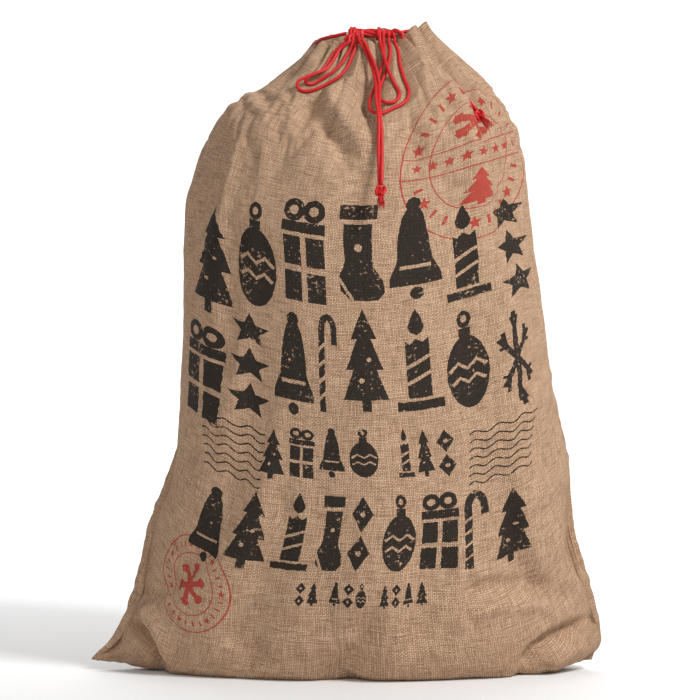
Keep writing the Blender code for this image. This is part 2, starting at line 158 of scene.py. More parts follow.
# Each tail is two strands, side by side: these are the points of the line between them.
TAILS = {
    "front_tail": [
        (0.0145, -0.054, 0.605, 0), (0.018, 0.597, 0.0045), (0.0225, 0.586, 0.004),
        (0.0275, 0.571, 0.0042), (0.03, 0.556, 0.0042), (0.03, 0.542, 0.0042),
        (0.031, 0.53, 0.0042), (0.032, 0.518, 0.0015), (0.032, 0.505, 0.0),
        (0.032, 0.49, 0.0), (0.032, 0.476, 0.001), (0.032, 0.464, 0.0025),
    ],
    "right_tail": [
        (0.0535, -0.047, 0.608, 0), (0.06, -0.043, 0.602, 0), (0.069, 0.59, 0.0005),
        (0.084, 0.5755, 0.0), (0.099, 0.5595, 0.0), (0.112, 0.5435, 0.001),
        (0.119, 0.534, 0.0025),
    ],
}
TAIL_KNOT = (0.01, 0.009, 0.011)

# Folds in the cloth: (height, width on the left of the line's way, width on its right, the line
# across and up). A height below nothing is a valley.
SHOULDER_CREST = [
    (0.05, 0.598), (0.0662, 0.5872), (0.0812, 0.5727), (0.0962, 0.5567), (0.1085, 0.5415),
    (0.116, 0.527), (0.121, 0.505), (0.131, 0.482), (0.142, 0.468),
]
LEAN = 0.0036  # how far the shoulder's crest leans over the tail that lies behind it
FRONT_FOLDS = [
    # the ridge over the right shoulder, and the valley behind it
    (0.012, 0.0042, 0.026, SHOULDER_CREST),
    (-0.0095, 0.01, 0.01, [
        (0.07, 0.594), (0.088, 0.58), (0.106, 0.562), (0.121, 0.54), (0.134, 0.516),
    ]),
    # the bent hump that hangs from the bow, and the hollow below it
    (0.009, 0.013, 0.009, [
        (0.014, 0.586), (0.003, 0.566), (-0.012, 0.545), (-0.006, 0.53), (0.008, 0.514),
        (0.026, 0.5),
    ]),
    (-0.0085, 0.011, 0.018, [
        (-0.05, 0.541), (-0.028, 0.53), (-0.008, 0.509), (0.016, 0.49),
    ]),
    (0.003, 0.02, 0.024, [(-0.046, 0.508), (-0.018, 0.476), (0.004, 0.452)]),
    # the groove under the bow
    (-0.0075, 0.008, 0.009, [(0.025, 0.588), (0.024, 0.567), (0.02, 0.548), (0.024, 0.528)]),
    (-0.005, 0.014, 0.012, [(0.045, 0.527), (0.06, 0.508), (0.076, 0.488)]),
    (0.0045, 0.018, 0.014, [(0.052, 0.56), (0.072, 0.53), (0.088, 0.5)]),
    # left shoulder
    (-0.006, 0.013, 0.018, [(-0.03, 0.588), (-0.056, 0.566), (-0.086, 0.54)]),
    (0.005, 0.016, 0.012, [(-0.02, 0.584), (-0.04, 0.56), (-0.07, 0.528), (-0.092, 0.5)]),
    (-0.0025, 0.02, 0.02, [(-0.12, 0.5), (-0.128, 0.46), (-0.118, 0.41)]),
    # left side
    (-0.0026, 0.008, 0.012, [(-0.072, 0.24), (-0.115, 0.224), (-0.162, 0.202)]),
    (0.0016, 0.012, 0.01, [(-0.08, 0.262), (-0.12, 0.246), (-0.158, 0.226)]),
    # right side
    (0.0034, 0.01, 0.012, [(0.12, 0.224), (0.16, 0.246), (0.19, 0.284)]),
    (-0.003, 0.009, 0.009, [(0.15, 0.27), (0.172, 0.286), (0.186, 0.308)]),
    (-0.0034, 0.009, 0.01, [(0.156, 0.14), (0.186, 0.158), (0.216, 0.182)]),
    (0.0034, 0.01, 0.012, [(0.17, 0.1), (0.192, 0.118), (0.216, 0.148)]),
    (-0.007, 0.008, 0.01, [(0.104, 0.084), (0.15, 0.0905), (0.2, 0.087)]),
    (0.006, 0.011, 0.009, [(0.108, 0.068), (0.156, 0.073), (0.206, 0.064)]),
    # the tucked right corner
    (-0.015, 0.006, 0.009, [(0.166, 0.004), (0.178, 0.026), (0.202, 0.04), (0.236, 0.05)]),
    (0.008, 0.009, 0.01, [(0.188, 0.012), (0.21, 0.024), (0.232, 0.032)]),
    # the left corner's ear
    (-0.016, 0.0065, 0.005, [(-0.212, 0.052), (-0.194, 0.04), (-0.181, 0.022), (-0.176, 0.0)]),
    (0.007, 0.009, 0.012, [(-0.2, 0.066), (-0.178, 0.044), (-0.165, 0.01)]),
    # across the base
    (0.0016, 0.014, 0.014, [(-0.12, 0.046), (-0.04, 0.04), (0.04, 0.048)]),
    (-0.002, 0.01, 0.012, [(0.005, 0.006), (0.006, 0.02), (0.01, 0.034)]),
]
BACK_FOLDS = [
    (0.006, 0.012, 0.022, [(0.01, 0.6), (-0.02, 0.56), (-0.064, 0.52), (-0.1, 0.47)]),
    (-0.005, 0.012, 0.014, [(0.0, 0.59), (-0.046, 0.556), (-0.096, 0.522)]),
    (0.0055, 0.02, 0.01, [(0.04, 0.602), (0.06, 0.56), (0.066, 0.5), (0.056, 0.44)]),
    (-0.005, 0.012, 0.012, [(0.06, 0.59), (0.086, 0.55), (0.1, 0.49)]),
    (0.005, 0.012, 0.02, [(0.064, 0.604), (0.104, 0.57), (0.14, 0.51)]),
    (-0.004, 0.01, 0.014, [(0.022, 0.58), (0.014, 0.53), (0.02, 0.47)]),
    (-0.003, 0.012, 0.012, [(0.08, 0.24), (0.13, 0.21), (0.18, 0.196)]),
    (0.003, 0.012, 0.012, [(-0.08, 0.28), (-0.12, 0.24), (-0.165, 0.225)]),
    (-0.007, 0.007, 0.008, [(0.17, 0.01), (0.19, 0.036), (0.226, 0.048)]),
    (-0.007, 0.007, 0.007, [(-0.206, 0.052), (-0.186, 0.034), (-0.176, 0.008)]),
    (0.003, 0.012, 0.012, [(-0.15, 0.08), (-0.08, 0.066), (0.0, 0.074)]),
]

# Colours of the real thing, linear. CLOTH_DARK also paints shade into the gaps between the weave's
# threads, and CORD_DARK paints shade into the grooves between the cord's plaits.
CLOTH_LIGHT = (0.76, 0.52, 0.345, 1)
CLOTH_MID = (0.43, 0.26, 0.158, 1)
CLOTH_DARK = (0.15, 0.078, 0.042, 1)
INK = (0.009, 0.008, 0.007, 1)
RED_INK = (0.42, 0.022, 0.018, 1)
CORD_LIGHT = (0.7, 0.01, 0.012, 1)
CORD_DARK = (0.3, 0.002, 0.003, 1)
WHITE = (0.86, 0.86, 0.86, 1)


# ---------------------------------------------------------------- camera, lights, floor
def make_camera():
    camera = bpy.data.objects.new("camera", bpy.data.cameras.new("camera"))
    scene.collection.objects.link(camera)
    camera.data.sensor_width = 36
    camera.data.lens = 127.2
    rise = math.radians(EYE_ELEVATION)
    back = Vector((0, -math.cos(rise), math.sin(rise)))
    camera.location = Vector(EYE_TARGET) + back * EYE_DISTANCE
    camera.rotation_mode = "QUATERNION"
    camera.rotation_quaternion = (-back).to_track_quat("-Z", "Y")
    scene.camera = camera
    return camera


def area_light(name, place, aim, size, watts, colour=(1, 1, 1)):
    light = bpy.data.lights.new(name, "AREA")
    light.size = size
    light.energy = watts
    light.color = colour
    thing = bpy.data.objects.new(name, light)
    scene.collection.objects.link(thing)
    thing.location = place
    thing.rotation_mode = "QUATERNION"
    thing.rotation_quaternion = (Vector(aim) - Vector(place)).to_track_quat("-Z", "Y")
    return thing


def make_studio():
    """A pale floor that curves up into a backdrop behind, and soft light, mostly from the right."""
    build = bmesh.new()
    turns = np.linspace(0, math.pi / 2, 17)
    bend = [(math.sin(a) * BACKDROP_BEND, BACKDROP_BEND - math.cos(a) * BACKDROP_BEND) for a in turns]
    back = BACKDROP_START + BACKDROP_BEND
    profile = [(-6.0, 0.0), *[(BACKDROP_START + y, z) for y, z in bend], (back, 5.0)]
    rows = [[build.verts.new((x, y, z - 0.0004)) for y, z in profile] for x in (-6.0, 6.0)]
    for a, b, c, d in zip(rows[0], rows[0][1:], rows[1][1:], rows[1]):
        build.faces.new((a, d, c, b))
    mesh = bpy.data.meshes.new("floor")
    build.to_mesh(mesh)
    build.free()
    floor = bpy.data.objects.new("floor", mesh)
    scene.collection.objects.link(floor)
    mesh.shade_smooth()
    look = bpy.data.materials.new("floor")
    look.use_nodes = True
    shader = look.node_tree.nodes["Principled BSDF"]
    shader.inputs["Base Color"].default_value = WHITE
    shader.inputs["Roughness"].default_value = 0.9
    mesh.materials.append(look)

    area_light("key", (1.45, -1.2, 1.95), (0.0, 0.0, 0.35), 0.5, 52)
    area_light("front", (-0.8, -2.5, 1.3), (0.0, 0.0, 0.3), 1.4, 11)
    area_light("backdrop", (0.0, 2.3, 3.0), (0.0, 4.2, 0.5), 3.6, 150)
    world = bpy.data.worlds.new("studio")
    scene.world = world
    world.use_nodes = True
    world.node_tree.nodes["Background"].inputs["Color"].default_value = (1, 1, 1, 1)
    world.node_tree.nodes["Background"].inputs["Strength"].default_value = 0.36
    scene.view_settings.view_transform = "Standard"


# ---------------------------------------------------------------- the CAD's own surface
def ease(value, low, high):
    s = np.clip((np.asarray(value, float) - low) / (high - low), 0, 1)
    return s * s * (3 - 2 * s)


def read(table, height):
    """The table's values at each flat height, on a smooth curve through its rows."""
    rows = np.array(table)
    at, values = rows[:, 0], rows[:, 1:]
    slopes = np.gradient(values, at, axis=0)
    height = np.asarray(height, float)
    index = np.clip(np.searchsorted(at, height) - 1, 0, len(at) - 2)
    span = (at[index + 1] - at[index])[..., None]
    s = np.clip((height - at[index])[..., None] / span, 0, 1)
    return (
        (2 * s**3 - 3 * s**2 + 1) * values[index]
        + (s**3 - 2 * s**2 + s) * span * slopes[index]
        + (3 * s**2 - 2 * s**3) * values[index + 1]
        + (s**3 - s**2) * span * slopes[index + 1]
    )


def full_shape(side, across, height):
    """Points of a panel's smooth outer face, for arrays of across (-1 to 1) and flat height."""
    left, right = read(LEFT_EDGE, height), read(RIGHT_EDGE, height)
    middle = read(FRONT_MIDDLE if side < 0 else BACK_MIDDLE, height)
    turn = across * math.pi / 2
    x = (left[..., 0] + right[..., 0]) / 2 + (right[..., 0] - left[..., 0]) / 2 * np.sin(turn)
    edge = SEAM_Y + EXIT_GAP * ease(height, FLAT_HEIGHT - 1.4 * HEM, FLAT_HEIGHT - 0.9 * HEM)
    round_off = np.maximum(np.cos(turn), 0) ** read(PINCH, height)[..., 0]
    y = edge + np.maximum(middle[..., 0], 0) * round_off
    edge_z = np.where(across < 0, left[..., 1], right[..., 1])
    rise = np.abs(np.sin(turn)) ** read(EDGE_RISE, height)[..., 0]
    z = middle[..., 1] + (edge_z - middle[..., 1]) * rise
    return np.stack([x, side * y, np.maximum(z, 0)], axis=-1)


def unit(vectors):
    length = np.linalg.norm(vectors, axis=-1, keepdims=True)
    return vectors / np.maximum(length, 1e-12)


def out_of(side, across, height):
    """The outward way from a panel's smooth face, for arrays."""
    step = 0.004
    low, high = np.maximum(across - step, -1), np.minimum(across + step, 1)
    down, up = np.maximum(height - step, 0), np.minimum(height + step, FLAT_HEIGHT)
    along = full_shape(side, high, height) - full_shape(side, low, height)
    rise = full_shape(side, across, up) - full_shape(side, across, down)
    return unit(np.cross(along, rise) * -side)


def smooth_route(points, spacing):
    """Evenly spaced points on one smooth curve through the given ones."""
    knots = [Vector(p) for p in points]
    ends = [2 * knots[0] - knots[1], *knots, 2 * knots[-1] - knots[-2]]
    fine = []
    for a, b, c, d in zip(ends, ends[1:], ends[2:], ends[3:]):
        for k in range(12):
            s = k / 12
            fine.append(
                0.5
                * (
                    2 * b
                    + (c - a) * s
                    + (2 * a - 5 * b + 4 * c - d) * s * s
                    + (3 * b - a - 3 * c + d) * s**3
                )
            )
    fine.append(knots[-1])
    lengths = np.cumsum([0.0] + [(q - p).length for p, q in zip(fine, fine[1:])])
    count = max(3, int(round(lengths[-1] / spacing)) + 1)
    places = np.linspace(0, lengths[-1], count)
    table = np.array([tuple(p) for p in fine])
    size = table.shape[1]
    return [Vector([np.interp(at, lengths, table[:, k]) for k in range(size)]) for at in places]


# ---------------------------------------------------------------- materials
class Nodes:
    """A material's node tree, with short calls for the nodes used here."""

    def __init__(self, name):
        self.material = bpy.data.materials.new(name)
        self.material.use_nodes = True
        self.tree = self.material.node_tree
        self.shader = self.tree.nodes["Principled BSDF"]

    def put(self, socket, value):
        if isinstance(value, bpy.types.NodeSocket):
            self.tree.links.new(value, socket)
        else:
            socket.default_value = value

    def math(self, operation, a, b=None, c=None, clamp=False):
        node = self.tree.nodes.new("ShaderNodeMath")
        node.operation = operation
        node.use_clamp = clamp
        for socket, value in zip(node.inputs, (a, b, c)):
            if value is not None:
                self.put(socket, value)
        return node.outputs[0]

    def mix(self, share, a, b):
        node = self.tree.nodes.new("ShaderNodeMix")
        node.data_type = "RGBA"
        self.put(node.inputs["Factor"], share)
        self.put(node.inputs[6], a)
        self.put(node.inputs[7], b)
        return node.outputs[2]

    def scaled(self, vector, scale):
        node = self.tree.nodes.new("ShaderNodeVectorMath")
        node.operation = "MULTIPLY"
        self.put(node.inputs[0], vector)
        node.inputs[1].default_value = scale
        return node.outputs[0]

    def noise(self, vector, scale, detail=2.0, rough=0.5):
        node = self.tree.nodes.new("ShaderNodeTexNoise")
        self.put(node.inputs["Vector"], vector)
        node.inputs["Scale"].default_value = scale
        node.inputs["Detail"].default_value = detail
        node.inputs["Roughness"].default_value = rough
        return node.outputs["Fac"]

    def between(self, value, low, high, to_low=0.0, to_high=1.0):
        node = self.tree.nodes.new("ShaderNodeMapRange")
        node.clamp = True
        self.put(node.inputs["Value"], value)
        for name, number in (("From Min", low), ("From Max", high),
                             ("To Min", to_low), ("To Max", to_high)):
            node.inputs[name].default_value = number
        return node.outputs["Result"]

    def uv(self, name):
        node = self.tree.nodes.new("ShaderNodeUVMap")
        node.uv_map = name
        return node.outputs["UV"]

    def object_place(self):
        return self.tree.nodes.new("ShaderNodeTexCoord").outputs["Object"]

    def split(self, vector):
        node = self.tree.nodes.new("ShaderNodeSeparateXYZ")
        self.put(node.inputs[0], vector)
        return node.outputs

    def bump(self, height, strength, distance):
        node = self.tree.nodes.new("ShaderNodeBump")
        node.inputs["Strength"].default_value = strength
        node.inputs["Distance"].default_value = distance
        self.put(node.inputs["Height"], height)
        self.put(self.shader.inputs["Normal"], node.outputs["Normal"])

    def finish(self, colour, roughness, sheen=0.0, shine=0.5):
        self.put(self.shader.inputs["Base Color"], colour)
        self.put(self.shader.inputs["Roughness"], roughness)
        self.shader.inputs["Specular IOR Level"].default_value = shine
        if sheen:
            self.shader.inputs["Sheen Weight"].default_value = sheen
            self.shader.inputs["Sheen Roughness"].default_value = 0.5
        return self.material


def woven(name, ink=None, cover=0.9, place="flat"):
    """Coarse plain weave with slubs, with painted shade in the gaps between its threads. ink prints it
    over, worn so that some threads show through.
    """
    n = Nodes(name)
    where = n.uv("flat") if place == "flat" else n.object_place()
    x, y, z = n.split(where)
    if place != "flat":
        y = z
    wander = n.noise(where, 45.0, 2.0)
    drift = n.math("MULTIPLY", n.math("SUBTRACT", wander, 0.5), 0.9)
    across = n.math("ADD", n.math("DIVIDE", x, WEAVE), drift)
    up = n.math("ADD", n.math("DIVIDE", y, WEAVE), drift)
    warp = n.math("ABSOLUTE", n.math("SINE", n.math("MULTIPLY", across, math.pi)))
    weft = n.math("ABSOLUTE", n.math("SINE", n.math("MULTIPLY", up, math.pi)))
    turn = n.math("ADD", n.math("FLOOR", across), n.math("FLOOR", up))
    over = n.math("PINGPONG", turn, 1.0)
    under = n.math("SUBTRACT", 1.0, over)
    weave = n.math("ADD", n.math("MULTIPLY", warp, over), n.math("MULTIPLY", weft, under))

    # Each thread is a little lighter or darker along its length, and some are thick and dark.
    weft_tone = n.noise(n.scaled(where, (55, 640, 640)), 1.0, 2.0, 0.6)
    warp_tone = n.noise(n.scaled(where, (640, 55, 55)), 1.0, 2.0, 0.6)
    weft_slub = n.between(n.noise(n.scaled(where, (60, 560, 560)), 1.0, 1.0), 0.56, 0.74)
    warp_slub = n.between(n.noise(n.scaled(where, (560, 60, 60)), 1.0, 1.0), 0.56, 0.74)
    tone = n.math("ADD", n.math("MULTIPLY", warp_tone, over), n.math("MULTIPLY", weft_tone, under))
    slub = n.math("MAXIMUM", n.math("MULTIPLY", warp_slub, 0.75), weft_slub)
    broad = n.noise(where, 9.0, 3.0)

    light = n.between(tone, 0.38, 0.62)
    colour = n.mix(light, CLOTH_MID, CLOTH_LIGHT)
    colour = n.mix(n.math("MULTIPLY", slub, 0.48), colour, CLOTH_DARK)
    # Painted shade: the gaps between the threads are darkened towards CLOTH_DARK, where shade falls on
    # real cloth.
    thread_gap_shade = n.between(weave, 0.2, 0.75, 0.85, 0.0)
    colour = n.mix(thread_gap_shade, colour, CLOTH_DARK)
    colour = n.mix(n.between(broad, 0.35, 0.75, 0.0, 0.16), colour, CLOTH_MID)
    rough = n.between(tone, 0.3, 0.7, 0.94, 0.8)
    if ink is not None:
        worn = n.noise(where, 260.0, 3.0, 0.6)
        patch = n.noise(where, 30.0, 2.0)
        bare = n.math("ADD", worn, n.math("MULTIPLY", n.math("SUBTRACT", patch, 0.5), 0.42))
        holds = n.between(bare, 0.62, 0.7, cover, 0.1)
        holds = n.math("MULTIPLY", holds, n.between(weave, 0.02, 0.3, 0.8, 1.0))
        colour = n.mix(holds, colour, ink)
        rough = n.between(tone, 0.3, 0.7, 0.8, 0.62)
    raised = n.math("ADD", weave, n.math("MULTIPLY", slub, 0.5))
    raised = n.math("ADD", raised, n.math("MULTIPLY", tone, 0.35))
    n.bump(raised, 0.9, 0.00045)
    return n.finish(colour, rough, shine=0.18)


def corded(name):
    """Soft satin braid: plaits that run round the cord both ways, read from its own UV, with painted shade
    in the grooves between them.
    """
    n = Nodes(name)
    along, round_it, _ = n.split(n.uv("flat"))
    turns = n.math("MULTIPLY", along, 1 / 0.0032)
    lean = n.math("MULTIPLY", round_it, 4.0)
    one = n.math("SINE", n.math("MULTIPLY", n.math("ADD", turns, lean), 2 * math.pi))
    two = n.math("SINE", n.math("MULTIPLY", n.math("SUBTRACT", turns, lean), 2 * math.pi))
    plait = n.between(n.math("MAXIMUM", one, two), -0.4, 1.0)
    fibre = n.noise(n.scaled(n.uv("flat"), (900, 26, 1)), 1.0, 3.0, 0.6)
    patch = n.noise(n.object_place(), 120.0, 2.0)
    # Painted shade: the grooves between the plaits are coloured towards CORD_DARK, mixed with the fibres'
    # own tone.
    plait_shade_and_fibre = n.math("ADD", n.math("MULTIPLY", plait, 0.55), n.math("MULTIPLY", fibre, 0.45))
    colour = n.mix(n.between(plait_shade_and_fibre, 0.15, 0.75), CORD_DARK, CORD_LIGHT)
    colour = n.mix(n.between(patch, 0.4, 0.7, 0.0, 0.25), colour, CORD_DARK)
    n.bump(n.math("ADD", plait, n.math("MULTIPLY", fibre, 0.5)), 0.6, 0.00022)
    return n.finish(colour, n.between(fibre, 0.3, 0.7, 0.38, 0.6), sheen=0.04, shine=0.35)


def threaded(name):
    """Spun sewing thread."""
    n = Nodes(name)
    place = n.object_place()
    twist = n.noise(n.scaled(place, (2600, 900, 2600)), 1.0, 2.0)
    colour = n.mix(n.between(twist, 0.35, 0.65), CLOTH_MID, CLOTH_LIGHT)
    n.bump(twist, 0.5, 0.0001)
    return n.finish(colour, n.between(twist, 0.3, 0.7, 0.75, 0.55), sheen=0.1)


# ---------------------------------------------------------------- cords
def link(thing, body, look, replaced=()):
    """Puts a finished piece in the scene, on its body, for the CAD nodes it stands for."""
    if thing.name not in scene.collection.objects:
        scene.collection.objects.link(thing)
    for one in look if isinstance(look, (list, tuple)) else [look]:
        thing.data.materials.append(one)
    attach(thing, body)
    if replaced:
        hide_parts(*replaced)
    return thing


def add_tube(build, layer, points, radius, sides=14, plaits=0.0, start=0.0):
    """Adds a closed round tube along the points, its radius a number or one for each point."""
    points = [Vector(p) for p in points]
    count = len(points)
    radii = np.broadcast_to(np.asarray(radius, float), (count,))
    ways = [(points[min(i + 1, count - 1)] - points[max(i - 1, 0)]).normalized()
            for i in range(count)]
    aside = ways[0].orthogonal().normalized()
    walked = start
    rings = []
    for i, (point, way) in enumerate(zip(points, ways)):
        aside = (aside - way * aside.dot(way)).normalized()
        other = way.cross(aside)
        if i:
            walked += (point - points[i - 1]).length
        ring = []
        for k in range(sides):
            angle = 2 * math.pi * k / sides
            braid = math.cos(2 * angle + walked * 2 * math.pi / BRAID)
            braid *= math.cos(2 * angle - walked * 2 * math.pi / BRAID)
            r = radii[i] * (1 + plaits * braid)
            out = aside * math.cos(angle) + other * math.sin(angle)
            ring.append(build.verts.new(point + out * r))
        rings.append((ring, walked))
    for (low, from_), (high, to) in zip(rings, rings[1:]):
        for k in range(sides):
            nxt = (k + 1) % sides
            face = build.faces.new((low[k], low[nxt], high[nxt], high[k]))
            face.smooth = True
            a, b = k / sides, (k + 1) / sides
            for loop, place in zip(face.loops, ((from_, a), (from_, b), (to, b), (to, a))):
                loop[layer].uv = place
    for ring, flip, at in ((rings[0][0], True, rings[0][1]), (rings[-1][0], False, rings[-1][1])):
        face = build.faces.new(ring[::-1] if flip else ring)
        for loop in face.loops:
            loop[layer].uv = (at, 0.5)


def tubes(name, runs, radius, sides=14, plaits=0.05):
    """One mesh of several tubes, each along its own points."""
    build = bmesh.new()
    layer = build.loops.layers.uv.new("flat")
    for number, run in enumerate(runs):
        add_tube(build, layer, run, radius, sides, plaits, start=0.137 * number)
    mesh = bpy.data.meshes.new(name)
    build.to_mesh(mesh)
    build.free()
    thing = bpy.data.objects.new(name, mesh)
    scene.collection.objects.link(thing)
    return thing


cad_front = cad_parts["front_panel"]
cad_surface = BVHTree.FromObject(cad_front, bpy.context.evaluated_depsgraph_get())


def on_cloth(x, z, lift=0.0):
    """A cord's centre where it lies on the front panel and its stitching, or lift above that."""
    hit, normal, _, _ = cad_surface.ray_cast(Vector((x, -1, z)), Vector((0, 1, 0)))
    return hit + normal * (THREAD + CORD_RADIUS + 3 * GAP + lift), normal


def route_points(route):
    """A route's points, and the way out from the cloth at each."""
    return [on_cloth(*p) if len(p) == 3 else (Vector(p[:3]), Vector((0, -1, 0))) for p in route]


def tail_strands(name):
    """The two strands of a tail, and where the line between them ends and points.

    They lie against each other, and turn round each other a little on the way down.
    """
    placed = route_points(TAILS[name])
    middle = [point for point, _ in placed]
    ways = [b - a for a, b in zip(middle, middle[1:])]
    beside = []
    for k, (way, (_, out)) in enumerate(zip([*ways, ways[-1]], placed)):
        aside = way.cross(out).normalized()
        share = k / (len(placed) - 1)
        if name == "right_tail":
            lean = math.radians(75)
        else:
            lean = math.radians(48) * math.sin(2.6 * math.pi * share)
        beside.append((aside * -math.cos(lean) + out * math.sin(lean)) * STRAND_OFFSET)
    strands = [[p + hand * aside for p, aside in zip(middle, beside)] for hand in (-1, 1)]
    return strands, middle[-1], (middle[-1] - middle[-2]).normalized()


def overhand(centre, axis, size):
    """The path of an end knot: one cord through its own loop, pulled tight."""
    turn = Vector((0, 0, 1)).rotation_difference(Vector(axis))
    room = [s / 2 - CORD_RADIUS for s in size]
    path = []
    for k in range(61):
        t = 2 * math.pi * k / 60
        x = (math.sin(t) + 2 * math.sin(2 * t)) / 3
        y = (math.cos(t) - 2 * math.cos(2 * t)) / 3
        z = -math.sin(3 * t)
        path.append(centre + turn @ Vector((x * room[0] * 1.25, y * room[1] * 1.25, z * room[2] * 0.9)))
    return path


def fray(name, top, axis, seed, look, body, replaced):
    """A cord's end below its knot, unravelled into fine fibres."""
    rng = np.random.default_rng(seed)
    turn = Vector((0, 0, 1)).rotation_difference(Vector(axis))
    build = bmesh.new()
    layer = build.loops.layers.uv.new("flat")
    for k in range(FIBRES):
        angle = rng.uniform(0, 2 * math.pi)
        start = math.sqrt(rng.uniform(0, 1)) * 0.0018
        spread = start * rng.uniform(1.2, 2.0) + rng.uniform(-0.0004, 0.001)
        reach = rng.uniform(0.01, 0.015)
        curl = rng.uniform(-0.0016, 0.0016)
        run = []
        for step in range(7):
            s = step / 6
            wide = start + (spread - start) * s + 0.0007 * math.sin(s * math.pi)
            bend = curl * s * s
            place = (
                math.cos(angle) * wide - math.sin(angle) * bend,
                math.sin(angle) * wide + math.cos(angle) * bend,
                -0.0008 + reach * s,
            )
            run.append(Vector(top) + turn @ Vector(place))
        thick = np.linspace(0.00036, 0.00012, 7)
        add_tube(build, layer, run, thick, sides=5, start=0.01 * k)
    mesh = bpy.data.meshes.new(name)
    build.to_mesh(mesh)
    build.free()
    return link(bpy.data.objects.new(name, mesh), body, look, replaced)


def make_cords(look):
    """The bow's loops and tails, its knot, and the leads from the hem. Returns their centre lines."""
    lines = []
    for name, route in LOOPS.items():
        path = smooth_route([point for point, _ in route_points(route)], PATH_STEP)
        piece = tubes(f"{name}_cord", [path], CORD_RADIUS + PLUMP)
        link(piece, name.rsplit("_", 1)[0], look, [name])
        lines.append((path, 0.9))
    for seed, name in enumerate(TAILS):
        strands, end, way = tail_strands(name)
        centre = end + way * (TAIL_KNOT[2] / 2 + GAP)
        knot = tubes(f"{name}_overhand", [overhand(centre, way, TAIL_KNOT)], CORD_RADIUS * 0.97)
        link(knot, name, look, [f"{name}_end_knot"])
        top = end + way * (TAIL_KNOT[2] - 0.0012)
        tip = fray(f"{name}_fibres", top, way, 11 + seed, look, name, [f"{name}_frayed_end"])
        for word, strand in zip(("left", "right"), strands):
            path = smooth_route(strand, PATH_STEP)
            piece = tubes(f"{name}_{word}_cord", [path], CORD_RADIUS + PLUMP)
            link(piece, name, look, [f"{name}_{word}_strand"])
            lines.append((path, 3.4 if name == "right_tail" else 0.9))

    runs = []
    middle = Vector(KNOT_CENTRE)
    for k in range(5):
        run = []
        for step in range(25):
            s = step / 24
            angle = 2 * math.pi * k / 5 + 0.25 * math.pi + 1.4 * math.pi * s
            spread = 0.0028 + 0.0004 * math.sin(9 * s + k)
            x = middle.x + KNOT_LENGTH * (s - 0.5)
            run.append((x, middle.y + math.cos(angle) * spread, middle.z + math.sin(angle) * spread))
        runs.append(smooth_route(run, PATH_STEP))
    for start, turns, pitch in ((0.004, 1.85, 0.0031), (0.03, 1.15, 0.0034)):
        run = []
        for step in range(33):
            angle = 2 * math.pi * turns * step / 32 - 0.6 * math.pi
            x = start + pitch * turns * step / 32
            run.append((x, middle.y - math.cos(angle) * 0.005, middle.z + math.sin(angle) * 0.005))
        runs.append(smooth_route(run, PATH_STEP))
    ends = [(p[0], p[1], p[2]) for route in LOOPS.values() for p in (route[0], route[-1])]
    for name in TAILS:
        for strand in tail_strands(name)[0]:
            ends.append(tuple(strand[0]))
    for x, y, z in ends:
        root_x = min(max(x, middle.x - 0.018), middle.x + 0.02)
        runs.append(smooth_route([
            (root_x, middle.y + 0.0004, middle.z + 0.003),
            (root_x * 0.7 + x * 0.3, middle.y - 0.0046, z + 0.0074),
            (x, y + 0.0012, z + 0.004), (x, y, z - 0.0004),
        ], PATH_STEP))
    knot = tubes("bow_wraps", runs, CORD_RADIUS + PLUMP)
    link(knot, "sack", look, ["bow_knot"])
    for name, lead in (("left", LEFT_LEAD), ("right", RIGHT_LEAD)):
        inside = Vector(lead[-1]) + (Vector(lead[-1]) - Vector(lead[-2])) * 1.2
        front = [Vector(p) for p in (*lead, inside)]
        back = [p + Vector((0, CORD + 2 * GAP, 0)) for p in front]
        runs = [smooth_route(run, PATH_STEP) for run in (front, back)]
        piece = tubes(f"{name}_lead", runs, CORD_RADIUS + PLUMP)
        link(piece, "sack", look, [f"{name}_drawcord"])
    return lines


# ---------------------------------------------------------------- the cloth's shape
SETTLED = {}  # for each side, how far the simulated cloth moved out


def fold_field(x, z, folds):
    """How far the folds push the cloth out at each place, seen from the front."""
    total = np.zeros_like(x)
    for height, left, right, line in folds:
        near = (x > min(p[0] for p in line) - 0.08) & (x < max(p[0] for p in line) + 0.08)
        near &= (z > min(p[1] for p in line) - 0.08) & (z < max(p[1] for p in line) + 0.08)
        if near.any():
            total[near] += height * one_fold(x[near], z[near], left, right, line)
    return total


def one_fold(x, z, left, right, line):
    """One fold's own shape, 1 along its crest and falling away beside it."""
    path = np.array([tuple(p) for p in smooth_route([(*p, 0) for p in line], 0.006)])[:, :2]
    best = np.full(x.shape, 9.0)
    hand, share = np.zeros_like(x), np.zeros_like(x)
    steps = len(path) - 1
    for k, (a, b) in enumerate(zip(path, path[1:])):
        way = b - a
        t = np.clip(((x - a[0]) * way[0] + (z - a[1]) * way[1]) / (way @ way), 0, 1)
        off_x, off_z = x - a[0] - t * way[0], z - a[1] - t * way[1]
        gap = np.hypot(off_x, off_z)
        near = gap < best
        best = np.where(near, gap, best)
        hand = np.where(near, way[0] * off_z - way[1] * off_x, hand)
        share = np.where(near, (k + t) / steps, share)
    width = np.where(hand > 0, left, right)
    fade = 0.25 + 0.75 * ease(share, 0, 0.2) * ease(1 - share, 0, 0.25)
    return np.exp(-((best / width) ** 2)) * fade


